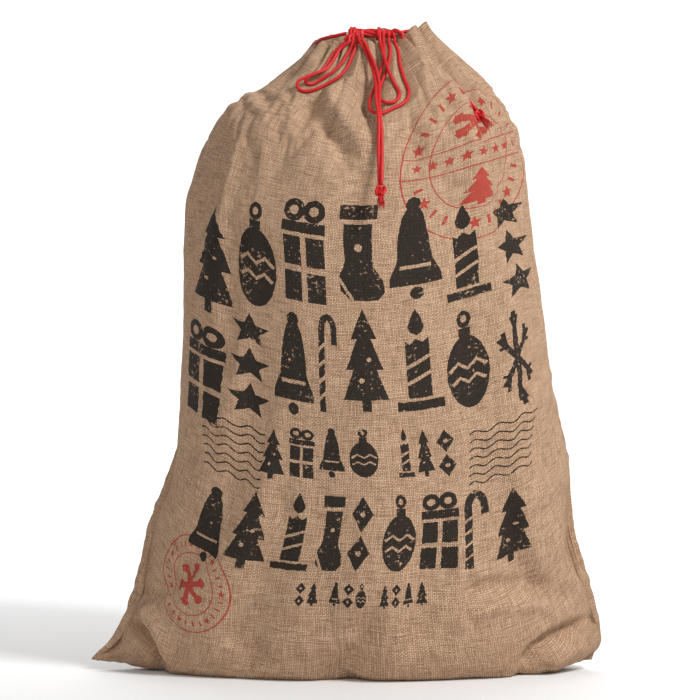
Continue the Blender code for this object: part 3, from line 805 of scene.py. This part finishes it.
def pleats(across, height, seed):
    """The gathers that run down from the drawn hem: rounded crests with sharp valleys between."""
    rng = np.random.default_rng(seed)
    steps = rng.uniform(0.45, 1.6, PLEATS)
    edges = -0.95 + 1.9 * np.concatenate([[0], np.cumsum(steps)]) / steps.sum()
    at = np.interp(across, edges, np.arange(PLEATS + 1))
    index = np.clip(at.astype(int), 0, PLEATS - 1)
    tall = rng.uniform(0.005, 0.01, PLEATS)[index]
    reach = rng.uniform(0.03, 0.1, PLEATS)[index]
    down = np.maximum(FLAT_HEIGHT - height, 0)
    strength = np.exp(-((down / reach) ** 1.3))
    crest = np.sin(math.pi * (at - index)) ** 0.85
    inside = (across > edges[0]) & (across < edges[-1])
    return np.where(inside, tall * strength * crest, 0) - 0.0012 * np.exp(-((down / 0.05) ** 2))


def rumple(points, size, seed):
    """Smooth random numbers about 0 over the points."""
    shift = Vector((seed * 3.1, seed * 1.7, seed * 0.9))
    flat = points.reshape(-1, 3)
    values = [noise.noise(Vector(p) / size + shift) for p in flat]
    return np.array(values).reshape(points.shape[:-1])


def under_cords(points, outs, lines):
    """The most that the cloth may stand out at each place, so that it lies below the cords."""
    cap = np.full(points.shape[:-1], 1.0)
    for path, slope in lines:
        for centre in path:
            to = np.array(centre) - points
            rise = (to * outs).sum(-1)
            off = np.sqrt(np.maximum((to * to).sum(-1) - rise**2, 0))
            room = rise - CORD_RADIUS - 0.0005 + np.maximum(off - CORD_RADIUS, 0) * slope
            near = (off < 0.016) & (np.abs(rise) < 0.025)
            cap = np.where(near, np.minimum(cap, room), cap)
    return cap


def settle():
    """Lets both panels, sewn together round the edge, settle as simulated cloth.

    The cloth is a little larger than the full sack's skin, most of all near the side seams and
    the base, so it wrinkles while weak pins hold it near that skin. Keeps how far each place
    moves out.
    """
    across, height = np.meshgrid(np.linspace(-1, 1, SIM_COLUMNS), np.linspace(0, FLAT_HEIGHT, SIM_ROWS))
    count = across.size
    number = np.arange(count).reshape(across.shape)
    starts, outs, faces = {}, {}, []
    for side in (-1, 1):
        base = full_shape(side, across, height)
        outs[side] = out_of(side, across, height)
        push = fold_field(base[..., 0], base[..., 2], FRONT_FOLDS if side < 0 else BACK_FOLDS)
        push += rumple(base, 0.034, 4) * 0.003
        starts[side] = base + outs[side] * push[..., None]
        ids = number if side < 0 else number + count
        if side > 0:
            ids[:, 0], ids[:, -1], ids[0] = number[:, 0], number[:, -1], number[0]
        for low, high in zip(ids, ids[1:]):
            for a, b, c, d in zip(low, low[1:], high[1:], high):
                faces.append((a, b, c, d) if side < 0 else (a, d, c, b))
    mesh = bpy.data.meshes.new("settling")
    points = np.concatenate([starts[-1].reshape(-1, 3), starts[1].reshape(-1, 3)])
    mesh.from_pydata([tuple(p) for p in points], [], [tuple(int(k) for k in face) for face in faces])
    thing = bpy.data.objects.new("settling", mesh)
    scene.collection.objects.link(thing)

    near_side = 1 - ease(1 - np.abs(across), 0.1, 0.75)
    near_base = 1 - ease(height, 0.04, 0.22)
    near_neck = ease(height, 0.5, 0.6)
    spare = np.clip(0.85 * near_side + 0.75 * near_base + 0.55 * near_neck, 0, 1)
    held = 0.035 + 0.25 * near_neck + 0.965 * ease(height, 0.62, 0.67)
    held = np.where(height < 0.004, 0.5, np.clip(held, 0, 1))
    for name, values in (("held", held), ("taut", 1 - spare)):
        group = thing.vertex_groups.new(name=name)
        for k, value in enumerate(np.concatenate([values.ravel(), values.ravel()])):
            group.add([k], float(value), "REPLACE")
    cloth = thing.modifiers.new("Cloth", "CLOTH")
    cloth.point_cache.frame_start = 1
    cloth.point_cache.frame_end = SIM_FRAMES
    ways = cloth.settings
    ways.quality = 6
    ways.mass = 0.05
    ways.air_damping = 4.0
    ways.tension_stiffness = 15
    ways.compression_stiffness = 15
    ways.shear_stiffness = 8
    ways.bending_stiffness = 0.35
    ways.vertex_group_mass = "held"
    ways.pin_stiffness = 0.5
    ways.shrink_max = -0.012
    ways.shrink_min = -0.075
    ways.vertex_group_shrink = "taut"
    ways.effector_weights.gravity = 0.35
    for number_of_frame in range(1, SIM_FRAMES + 1):
        scene.frame_set(number_of_frame)
    shape = thing.evaluated_get(bpy.context.evaluated_depsgraph_get()).to_mesh()
    after = np.zeros(len(shape.vertices) * 3, dtype=np.float32)
    shape.vertices.foreach_get("co", after)
    after = after.reshape(-1, 3).astype(float)
    for side, first in ((-1, 0), (1, count)):
        ended = after[first:first + count].reshape(starts[side].shape)
        if side > 0:
            front = after[:count].reshape(starts[side].shape)
            ended[:, 0], ended[:, -1], ended[0] = front[:, 0], front[:, -1], front[0]
        moved = ((ended - starts[side]) * outs[side]).sum(-1)
        most = np.where(moved > 0, SIM_MOST_OUT, SIM_MOST_IN)
        moved = most * np.tanh(moved / most) * ease(1 - np.abs(across), 0.0, 0.04)
        SETTLED[side] = moved * (1 - ease(height, 0.62, 0.67))
    scene.frame_set(1)
    bpy.data.objects.remove(thing)


def settled_push(side, across, height):
    """How far the simulated cloth moved out at each place, on a smooth curve through its table."""
    table = SETTLED[side]
    x = np.clip((across + 1) / 2 * (SIM_COLUMNS - 1), 0, SIM_COLUMNS - 1)
    y = np.clip(height / FLAT_HEIGHT * (SIM_ROWS - 1), 0, SIM_ROWS - 1)
    i = np.minimum(x.astype(int), SIM_COLUMNS - 2)
    j = np.minimum(y.astype(int), SIM_ROWS - 2)

    def shares(s):
        return (-0.5 * s + s * s - 0.5 * s**3, 1 - 2.5 * s * s + 1.5 * s**3,
                0.5 * s + 2 * s * s - 1.5 * s**3, -0.5 * s * s + 0.5 * s**3)

    total = np.zeros_like(x)
    for up, share_up in enumerate(shares(y - j)):
        row = np.clip(j + up - 1, 0, SIM_ROWS - 1)
        for along, share_along in enumerate(shares(x - i)):
            column = np.clip(i + along - 1, 0, SIM_COLUMNS - 1)
            total += share_up * share_along * table[row, column]
    return total


def folded_panel(side, across, height, lines):
    """The panel's outer face with its folds and gathers, and its hem turned in at the top."""
    turned = np.maximum(height - FLAT_HEIGHT, 0)
    level = FLAT_HEIGHT - np.abs(height - FLAT_HEIGHT)
    base = full_shape(side, across, level)
    outs = out_of(side, across, level)
    seam = 1 - np.abs(across)
    inner = ease(seam, 0.0, 0.1)
    folds = FRONT_FOLDS if side < 0 else BACK_FOLDS
    push = fold_field(base[..., 0], base[..., 2], folds) * (0.45 + 0.55 * inner)
    push += pleats(across, level, 5 if side < 0 else 6) * inner
    push += rumple(base, 0.075, 1) * 0.0022 * inner
    push += rumple(base, 0.028, 2) * 0.0008
    if side in SETTLED:
        push += settled_push(side, across, level)
    pucker = np.exp(-((seam / 0.05) ** 2))
    push += rumple(base * np.array([1, 1, 2.2]), 0.02, 3) * 0.0016 * pucker
    if lines:
        high = level > 0.5
        cap = under_cords(base[high], outs[high], lines)
        push[high] = np.minimum(push[high], cap)
    shaped = base + outs * push[..., None]
    if side < 0:
        crest = one_fold(base[..., 0], base[..., 2], 0.0035, 0.012, SHOULDER_CREST)
        crest *= 1 - ease(base[..., 0], 0.108, 0.122)
        shaped += np.array([0.7, 0.0, 0.7]) * (LEAN * crest)[..., None]
        collar = np.exp(-(((base[..., 0] - 0.066) / 0.012) ** 2))
        collar *= np.exp(-(((FLAT_HEIGHT - level) / 0.02) ** 2))
        shaped += np.array([0.0, -0.0045, 0.0085]) * collar[..., None]
    arch = np.exp(-(((shaped[..., 0] - 0.005) / 0.018) ** 2)) * 0.006
    arch += np.exp(-(((shaped[..., 0] - 0.118) / 0.02) ** 2)) * 0.003
    arch += np.exp(-(((shaped[..., 0] + 0.11) / 0.03) ** 2)) * 0.0018
    shaped[..., 2] += arch * (1 - ease(shaped[..., 2], 0.0, 0.04))
    shaped[..., 2] = np.maximum(shaped[..., 2], 0.0)

    # The turned-in layer hangs inside the outer one, with room for the cords between.
    round_top = ease(turned, 0, 0.004)
    room = CLOTH * 2.2 * round_top + TUNNEL * np.sin(math.pi * np.clip(turned / HEM, 0, 1)) ** 0.8
    shaped = shaped - outs * (room * (turned > 0))[..., None]
    return shaped


def flat_points():
    """Flat places of the cloth's vertices: a grid, twice as close near the top as below."""
    places = []
    for low, high, cell in ((0, CLOSER_FROM, CELL), (CLOSER_FROM, FLAT_HEIGHT, CELL / 2)):
        rows = int(round((high - low) / cell))
        heights = np.linspace(low, high, rows + 1)[(1 if low else 0):]
        if high == FLAT_HEIGHT:
            fold = FLAT_HEIGHT + np.array([0.0008, 0.0018, 0.0032, 0.005])
            turned = np.linspace(FLAT_HEIGHT + 0.0085, FLAT_HEIGHT + HEM - 0.002, 10)
            heights = np.concatenate([heights, fold, turned])
        columns = int(round(FLAT_WIDTH / cell))
        us = np.linspace(-FLAT_WIDTH / 2, FLAT_WIDTH / 2, columns + 1)
        grid_u, grid_v = np.meshgrid(us, heights)
        places.append(np.stack([grid_u.ravel(), grid_v.ravel()], axis=-1))
    return np.concatenate(places)


# ---------------------------------------------------------------- the print
def block(x0, y0, x1, y1):
    return [(x0, y0), (x1, y0), (x1, y1), (x0, y1)]


def disc(x, y, wide, tall=None, count=28, start=0.0):
    tall = wide if tall is None else tall
    angles = [start + 2 * math.pi * k / count for k in range(count)]
    return [(x + wide * math.cos(a), y + tall * math.sin(a)) for a in angles]


def stroke(line, width):
    """The outline of a line drawn with a pen of that width."""
    line = [np.array(p, float) for p in line]
    left, right = [], []
    for k, p in enumerate(line):
        way = line[min(k + 1, len(line) - 1)] - line[max(k - 1, 0)]
        way = way / max(np.hypot(*way), 1e-9)
        aside = np.array([-way[1], way[0]]) * width / 2
        left.append(tuple(p + aside))
        right.append(tuple(p - aside))
    return left + right[::-1]


def sized(points, w, h):
    """Points given as shares of a box of that width and height."""
    return [(x * w, y * h) for x, y in points]


def star(x, y, wide, tall=None, points=5, waist=0.45):
    tall = wide if tall is None else tall
    made = []
    for k in range(2 * points):
        r = 1 if k % 2 == 0 else waist
        a = math.pi / 2 + math.pi * k / points
        made.append((x + wide * r * math.cos(a), y + tall * r * math.sin(a)))
    return made


def fir(w, h):
    half = [(0.5, 1.0), (0.8, 0.7), (0.66, 0.7), (0.92, 0.4), (0.76, 0.4), (1.0, 0.11),
            (0.6, 0.11), (0.6, 0.0)]
    outline = half + [(1 - x, y) for x, y in half[:0:-1]]
    return [[(x * w, y * h) for x, y in outline]], [disc(0.42 * w, 0.3 * h, 0.06 * w),
                                                    disc(0.6 * w, 0.5 * h, 0.05 * w)]


def gift(w, h):
    solids = [
        block(0.04 * w, 0, 0.44 * w, 0.28 * h), block(0.56 * w, 0, 0.96 * w, 0.28 * h),
        block(0.04 * w, 0.34 * h, 0.44 * w, 0.62 * h), block(0.56 * w, 0.34 * h, 0.96 * w, 0.62 * h),
        block(0, 0.66 * h, w, 0.77 * h),
        *[disc(x * w, 0.88 * h, 0.25 * w, 0.11 * h) for x in (0.27, 0.73)],
    ]
    return solids, [disc(x * w, 0.88 * h, 0.11 * w, 0.045 * h) for x in (0.27, 0.73)]


def bell(w, h):
    half = [(0.6, 0.92), (0.72, 0.8), (0.8, 0.6), (0.84, 0.38), (1.0, 0.22), (1.0, 0.14)]
    outline = [(x * w, y * h) for x, y in half + [(1 - x, y) for x, y in half[::-1]]]
    clapper = disc(0.5 * w, 0.06 * h, 0.13 * w, 0.06 * h)
    crown = disc(0.5 * w, 0.93 * h, 0.15 * w, 0.07 * h)
    return [outline, clapper, crown], [block(0.2 * w, 0.3 * h, 0.8 * w, 0.335 * h)]


def candle(w, h):
    flame = [(0.5, 1.0), (0.62, 0.9), (0.68, 0.82), (0.62, 0.76), (0.5, 0.735), (0.38, 0.76),
             (0.32, 0.82), (0.38, 0.9)]
    wax = [(0.24, 0.12), (0.76, 0.12), (0.76, 0.7), (0.62, 0.66), (0.48, 0.7), (0.34, 0.65),
           (0.24, 0.69)]
    solids = [sized(flame, w, h), sized(wax, w, h), block(0, 0, w, 0.09 * h)]
    return solids, [stroke(sized([(0.24, y), (0.76, y + 0.1)], w, h), 0.035 * h) for y in (0.26, 0.42)]


def bauble(w, h):
    ball = disc(0.5 * w, 0.37 * h, 0.5 * w, 0.37 * h, 36)
    cap = block(0.36 * w, 0.73 * h, 0.64 * w, 0.82 * h)
    upper = [(0.06, 0.4), (0.28, 0.47), (0.5, 0.4), (0.72, 0.47), (0.94, 0.4)]
    lower = [(0.1, 0.26), (0.3, 0.32), (0.5, 0.26), (0.7, 0.32), (0.9, 0.26)]
    holes = [stroke(sized(line, w, h), 0.035 * h) for line in (upper, lower)]
    return ([ball, cap, disc(0.5 * w, 0.91 * h, 0.17 * w, 0.09 * h)],
            [disc(0.5 * w, 0.91 * h, 0.07 * w, 0.04 * h), *holes])


def cane(w, h):
    reach = 0.34 * w
    line = [(0.16 * w, 0.0), (0.16 * w, 0.4 * h), (0.16 * w, 0.78 * h)]
    line += [(0.16 * w + reach * (1 - math.cos(a)), 0.78 * h + 0.16 * h * math.sin(a))
             for a in np.linspace(0.3, math.pi, 10)]
    line.append((0.84 * w, 0.66 * h))
    holes = [stroke([(-0.04 * w, y * h), (0.36 * w, (y + 0.07) * h)], 0.03 * h)
             for y in (0.12, 0.28, 0.44, 0.6)]
    return [stroke(line, 0.32 * w)], holes


def stocking(w, h):
    foot = [(0.2, 0.8), (0.8, 0.8), (0.78, 0.36), (0.98, 0.2), (1.0, 0.08), (0.86, 0.0), (0.3, 0.0),
            (0.08, 0.1), (0.06, 0.24), (0.2, 0.4)]
    return ([[(x * w, y * h) for x, y in foot], block(0.1 * w, 0.85 * h, 0.9 * w, h)],
            [stroke([(0.02 * w, 0.26 * h), (0.34 * w, 0.0)], 0.03 * h), disc(0.5 * w, 0.55 * h, 0.08 * w)])


def flake(w, h):
    arms = []
    for k in range(3):
        a = math.pi / 2 + math.pi * k / 3
        dx, dy = math.cos(a) * 0.5 * w, math.sin(a) * 0.5 * h
        arms.append(stroke([(0.5 * w - dx, 0.5 * h - dy), (0.5 * w + dx, 0.5 * h + dy)], 0.15 * w))
        for sign in (-1, 1):
            fork = (0.5 * w + sign * dx * 0.62, 0.5 * h + sign * dy * 0.62)
            for lean in (-0.6, 0.6):
                bx = math.cos(a + lean) * 0.17 * w * sign
                by = math.sin(a + lean) * 0.17 * h * sign
                arms.append(stroke([fork, (fork[0] + bx, fork[1] + by)], 0.11 * w))
    return arms, []


def stars(w, h):
    return [star(0.5 * w, y * h, 0.52 * w, 0.17 * h) for y in (0.83, 0.49, 0.15)], []


def gem(w, h):
    made = [[(0.5 * w, y1 * h), (w, (y0 + y1) / 2 * h), (0.5 * w, y0 * h), (0, (y0 + y1) / 2 * h)]
            for y0, y1 in ((0.0, 0.48), (0.52, 1.0))]
    return made, [disc(0.5 * w, 0.24 * h, 0.12 * w), disc(0.5 * w, 0.76 * h, 0.12 * w)]


# Each motif's box in the picture plane: (motif, left, right, bottom, top).
BLACK_MOTIFS = [
    (fir, -0.142, -0.113, 0.347, 0.451), (bauble, -0.11, -0.072, 0.353, 0.4565),
    (gift, -0.065, -0.021, 0.357, 0.46), (stocking, -0.012, 0.037, 0.358, 0.453),
    (bell, 0.042, 0.095, 0.3595, 0.461), (candle, 0.099, 0.137, 0.3605, 0.453),
    (stars, 0.144, 0.173, 0.3605, 0.462),
    (gift, -0.147, -0.118, 0.245, 0.337), (stars, -0.114, -0.078, 0.246, 0.346),
    (bell, -0.073, -0.034, 0.247, 0.347), (cane, -0.028, -0.009, 0.249, 0.348),
    (fir, -0.004, 0.041, 0.25, 0.35), (candle, 0.049, 0.096, 0.251, 0.351),
    (bauble, 0.101, 0.141, 0.253, 0.35), (flake, 0.147, 0.176, 0.254, 0.351),
    (fir, -0.083, -0.061, 0.186, 0.2334), (gift, -0.057, -0.032, 0.186, 0.2334),
    (bell, -0.027, -0.002, 0.186, 0.2334), (bauble, 0.003, 0.032, 0.186, 0.2334),
    (candle, 0.051, 0.067, 0.186, 0.2334), (fir, 0.07, 0.088, 0.186, 0.2334),
    (gem, 0.092, 0.11, 0.186, 0.2334),
    (bell, -0.148, -0.115, 0.0995, 0.183), (fir, -0.11, -0.073, 0.0976, 0.176),
    (candle, -0.068, -0.031, 0.0957, 0.172), (stocking, -0.027, 0.0, 0.095, 0.168),
    (gem, 0.0043, 0.0257, 0.0957, 0.168), (bauble, 0.037, 0.07, 0.0957, 0.169),
    (gift, 0.075, 0.113, 0.0967, 0.171), (cane, 0.119, 0.144, 0.0995, 0.174),
    (fir, 0.15, 0.179, 0.1034, 0.178),
    (gem, -0.05, -0.04, 0.061, 0.084), (fir, -0.038, -0.027, 0.061, 0.084),
    (bell, -0.016, -0.005, 0.061, 0.084), (gem, -0.003, 0.008, 0.061, 0.084),
    (bauble, 0.01, 0.02, 0.061, 0.084), (fir, 0.033, 0.042, 0.061, 0.084),
    (gem, 0.044, 0.053, 0.061, 0.084), (bell, 0.056, 0.066, 0.061, 0.084),
    (fir, 0.069, 0.081, 0.061, 0.084),
]
WAVES = [(-0.136, -0.081), (0.123, 0.182)]
WAVE_HEIGHTS = np.linspace(0.188, 0.239, 7)
BIG_STAMP = (0.111, 0.4905, 0.057, 0.0765)
SMALL_STAMP = (-0.145, 0.083, 0.037, 0.0475)


def roundel(x, y, wide, tall, picture, line, band=0.0):
    """A round stamp: two rings with a ring of stars and dashes between, round a picture.

    band is the share of its height that a band across it takes up, clear of stars and dashes.
    """
    solids = [disc(x, y, wide, tall, 64), disc(x, y, wide * 0.64, tall * 0.64, 56)]
    holes = [disc(x, y, wide - line, tall - line, 64),
             disc(x, y, wide * 0.64 - line * 0.8, tall * 0.64 - line * 0.8, 56)]
    extra = []
    for k in range(28):
        a = 2 * math.pi * (k + 0.5) / 28
        if abs(math.sin(a)) < band:
            continue
        cx, cy = x + math.cos(a) * wide * 0.81, y + math.sin(a) * tall * 0.81
        if k % 4 == 0:
            extra.append(star(cx, cy, wide * 0.085, tall * 0.085))
        else:
            way = np.array([math.cos(a) * wide, math.sin(a) * tall]) * 0.055
            extra.append(stroke([(cx - way[0], cy - way[1]), (cx + way[0], cy + way[1])], wide * 0.045))
    return solids, holes, extra + picture


def wavy(left, right, height):
    xs = np.linspace(left, right, 25)
    return [(x, height + 0.0021 * math.sin((x - left) / (right - left) * 6 * math.pi)) for x in xs]


def rough_edge(outline, seed, wear=0.00075):
    """The outline anticlockwise, with more points, each moved a little, as ink on coarse cloth is."""
    turns = sum(a[0] * b[1] - b[0] * a[1] for a, b in zip(outline, outline[1:] + outline[:1]))
    outline = outline if turns > 0 else outline[::-1]
    made = []
    for a, b in zip(outline, outline[1:] + outline[:1]):
        steps = max(1, int(math.hypot(b[0] - a[0], b[1] - a[1]) / 0.0022))
        for k in range(steps):
            x = a[0] + (b[0] - a[0]) * k / steps
            y = a[1] + (b[1] - a[1]) * k / steps
            shift = noise.noise_vector(Vector((x * 420, y * 420, seed)))
            made.append((x + shift.x * wear, y + shift.y * wear))
    return made


def stamped(solids, holes, extra, number, box):
    """A stamp's outlines as red print. Each hole is in the solid of its own number alone."""
    made = [(rough_edge(s, number, 0.0003), 2, False, number + k, box) for k, s in enumerate(solids)]
    made += [(rough_edge(s, number, 0.0003), 2, True, number + k, box) for k, s in enumerate(holes)]
    return made + [(rough_edge(s, number, 0.0003), 2, False, number + 50, box) for s in extra]


def print_shapes():
    """Every printed outline: (picture-plane points, ink, whether it is a hole, group, group's box)."""
    noise.seed_set(PRINT_SEED)
    shapes = []
    for number, (motif, left, right, bottom, top) in enumerate(BLACK_MOTIFS):
        solids, holes = motif(right - left, top - bottom)
        for outlines, hole in ((solids, False), (holes, True)):
            for outline in outlines:
                placed = [(left + x, bottom + y) for x, y in outline]
                box = (left, right, bottom, top)
                shapes.append((rough_edge(placed, number), 1, hole, number, box))
    number = 1000
    for left, right in WAVES:
        for height in WAVE_HEIGHTS:
            line = stroke(wavy(left, right, height), 0.0014)
            box = (left, right, height - 0.003, height + 0.003)
            shapes.append((rough_edge(line, number, 0.0003), 1, False, number, box))
            number += 1
    x, y, wide, tall = BIG_STAMP
    picture, _ = flake(0.04, 0.034)
    middle = [[(x - 0.02 + a, y + 0.013 + b) for a, b in arm] for arm in picture]
    tree, _ = fir(0.03, 0.034)
    middle += [[(x - 0.015 + a, y - 0.046 + b) for a, b in outline] for outline in tree]
    for rise in (0.012, -0.009):
        middle.append(stroke([(x - wide * 0.98, y + rise), (x + wide * 0.98, y + rise)], 0.0011))
    middle += [star(x + k * 0.0112, y + 0.0015, 0.0042, 0.0052) for k in range(-4, 5)]
    solids, holes, extra = roundel(x, y, wide, tall, middle, 0.0011, band=0.32)
    shapes += stamped(solids, holes, extra, 2000, (x - wide, x + wide, y - tall, y + tall))
    x, y, wide, tall = SMALL_STAMP
    picture, _ = flake(0.034, 0.042)
    middle = [[(x - 0.017 + a, y - 0.021 + b) for a, b in arm] for arm in picture]
    solids, holes, extra = roundel(x, y, wide, tall, middle, 0.0012)
    shapes += stamped(solids, holes, extra, 2100, (x - wide, x + wide, y - tall, y + tall))
    return shapes


def flat_places(shapes, eye):
    """Moves each outline to the flat panel, where its group's box in the picture comes to.

    The print itself stays flat and unstretched, as it was when the cloth was printed.
    """
    across, heights = np.linspace(-1, 1, 121), np.linspace(0.06, 0.69, 181)
    grid_a, grid_h = np.meshgrid(across, heights)
    points = full_shape(-1, grid_a, grid_h).reshape(-1, 3)
    columns = len(across)
    corners = [Vector(p) for p in points]
    flat = [Vector((a * FLAT_WIDTH / 2, h, 0)) for a, h in zip(grid_a.ravel(), grid_h.ravel())]
    tris = []
    for j in range(len(heights) - 1):
        for i in range(columns - 1):
            k = j * columns + i
            tris.append((k, k + 1, k + columns + 1))
            tris.append((k, k + columns + 1, k + columns))
    tree = BVHTree.FromPolygons(corners, tris)

    def find(x, z):
        for share in np.linspace(1, 0.8, 41):
            way = (Vector((x * share, 0, z)) - eye).normalized()
            hit, _, index, _ = tree.ray_cast(eye, way)
            if hit is not None:
                break
        corner = [corners[k] for k in tris[index]]
        return barycentric_transform(hit, *corner, *[flat[k] for k in tris[index]])

    boxes = {}
    made = []
    for outline, ink, hole, group, box in shapes:
        left, right, bottom, top = box
        if box not in boxes:
            x, z = (left + right) / 2, (bottom + top) / 2
            boxes[box] = (find(left, z).x, find(right, z).x, find(x, bottom).y, find(x, top).y)
        u0, u1, v0, v1 = boxes[box]
        wide, tall = (u1 - u0) / (right - left), (v1 - v0) / (top - bottom)
        placed = [(u0 + (x - left) * wide, v0 + (z - bottom) * tall) for x, z in outline]
        made.append((placed, ink, hole, group))
    return made


# ---------------------------------------------------------------- cloth pieces
def cloth_mesh(name, side, lines, shapes, eye):
    """The panel as one mesh, with the print's outlines cut into its faces."""
    verts = [Vector(p) for p in flat_points()]
    faces, facts = [], []
    for outline, ink, hole, group in flat_places(shapes, eye) if shapes else []:
        first = len(verts)
        verts.extend(Vector(p) for p in outline)
        faces.append(list(range(first, len(verts))))
        facts.append((ink, hole, group))
    coords, _, made, _, _, origins = delaunay_2d_cdt(verts, [], faces, 0, 1e-6)
    flat = np.array([(p.x, p.y) for p in coords])
    inks = []
    for origin in origins:
        gone = {facts[k][2] for k in origin if facts[k][1]}
        kept = [facts[k][0] for k in origin if not facts[k][1] and facts[k][2] not in gone]
        inks.append(min(kept) if kept else 0)
    across = np.clip(flat[:, 0] / (FLAT_WIDTH / 2), -1, 1)
    points = folded_panel(side, across, flat[:, 1], lines)
    if side > 0:
        made = [tuple(face[::-1]) for face in made]
    mesh = bpy.data.meshes.new(name)
    mesh.from_pydata([tuple(p) for p in points], [], [tuple(face) for face in made])
    mesh.polygons.foreach_set("material_index", np.array(inks, dtype=np.int32))
    layer = mesh.uv_layers.new(name="flat")
    index = np.zeros(len(mesh.loops), dtype=np.int32)
    mesh.loops.foreach_get("vertex_index", index)
    layer.data.foreach_set("uv", flat[index].astype(np.float32).ravel())
    mesh.shade_smooth()
    mesh.update()
    thing = bpy.data.objects.new(name, mesh)
    wall = thing.modifiers.new("Wall", "SOLIDIFY")
    wall.thickness = CLOTH
    wall.offset = -1
    wall.material_offset = -2
    wall.material_offset_rim = -2
    return thing


def hem_stitches(name, side, lines, look):
    """A row of lockstitches that holds the hem down."""
    reach = 0.93 * FLAT_WIDTH / 2
    starts = np.arange(-reach, reach, HEM_PITCH)
    across = (starts[:, None] + np.linspace(0, HEM_STITCH, 5)) / (FLAT_WIDTH / 2)
    height = np.full(across.shape, FLAT_HEIGHT - HEM)
    row = folded_panel(side, across, height, lines)
    up = folded_panel(side, across, height + 0.002, lines)
    outs = unit(np.cross(np.gradient(row, axis=1), up - row)) * -side
    rise = np.array([-0.0002, 0.00015, 0.00022, 0.00015, -0.0002])[:, None]
    build = bmesh.new()
    layer = build.loops.layers.uv.new("flat")
    for k, run in enumerate(row + outs * rise):
        add_tube(build, layer, [tuple(p) for p in run], 0.00032, sides=6, start=0.003 * k)
    mesh = bpy.data.meshes.new(name)
    build.to_mesh(mesh)
    build.free()
    word = "front" if side < 0 else "back"
    return link(bpy.data.objects.new(name, mesh), "sack", look, [f"{word}_hem_stitch"])


def make_cloth(lines, eye):
    settle()
    cloth = woven("cloth")
    black = woven("black_print", INK, 0.96)
    red = woven("red_print", RED_INK, 0.86)
    thread = threaded("thread")
    for word, side in (("front", -1), ("back", 1)):
        above = lines if side < 0 else []
        shapes = print_shapes() if side < 0 else []
        piece = cloth_mesh(f"{word}_cloth", side, above, shapes, eye)
        link(piece, "sack", [cloth, black, red], [f"{word}_panel", f"{word}_casing"])
        row = hem_stitches(f"{word}_hem_thread", side, above, thread)
    inner = woven("seam_cloth", place="object")
    for node in ("left_side_seam", "right_side_seam", "bottom_seam"):
        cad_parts[node].data.materials.clear()
        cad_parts[node].data.materials.append(inner)
    for node in ("left_seam_thread", "right_seam_thread", "bottom_seam_thread"):
        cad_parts[node].data.materials.clear()
        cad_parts[node].data.materials.append(thread)


camera = make_camera()
cord_lines = make_cords(corded("cord"))
make_studio()
make_cloth(cord_lines, camera.location.copy())
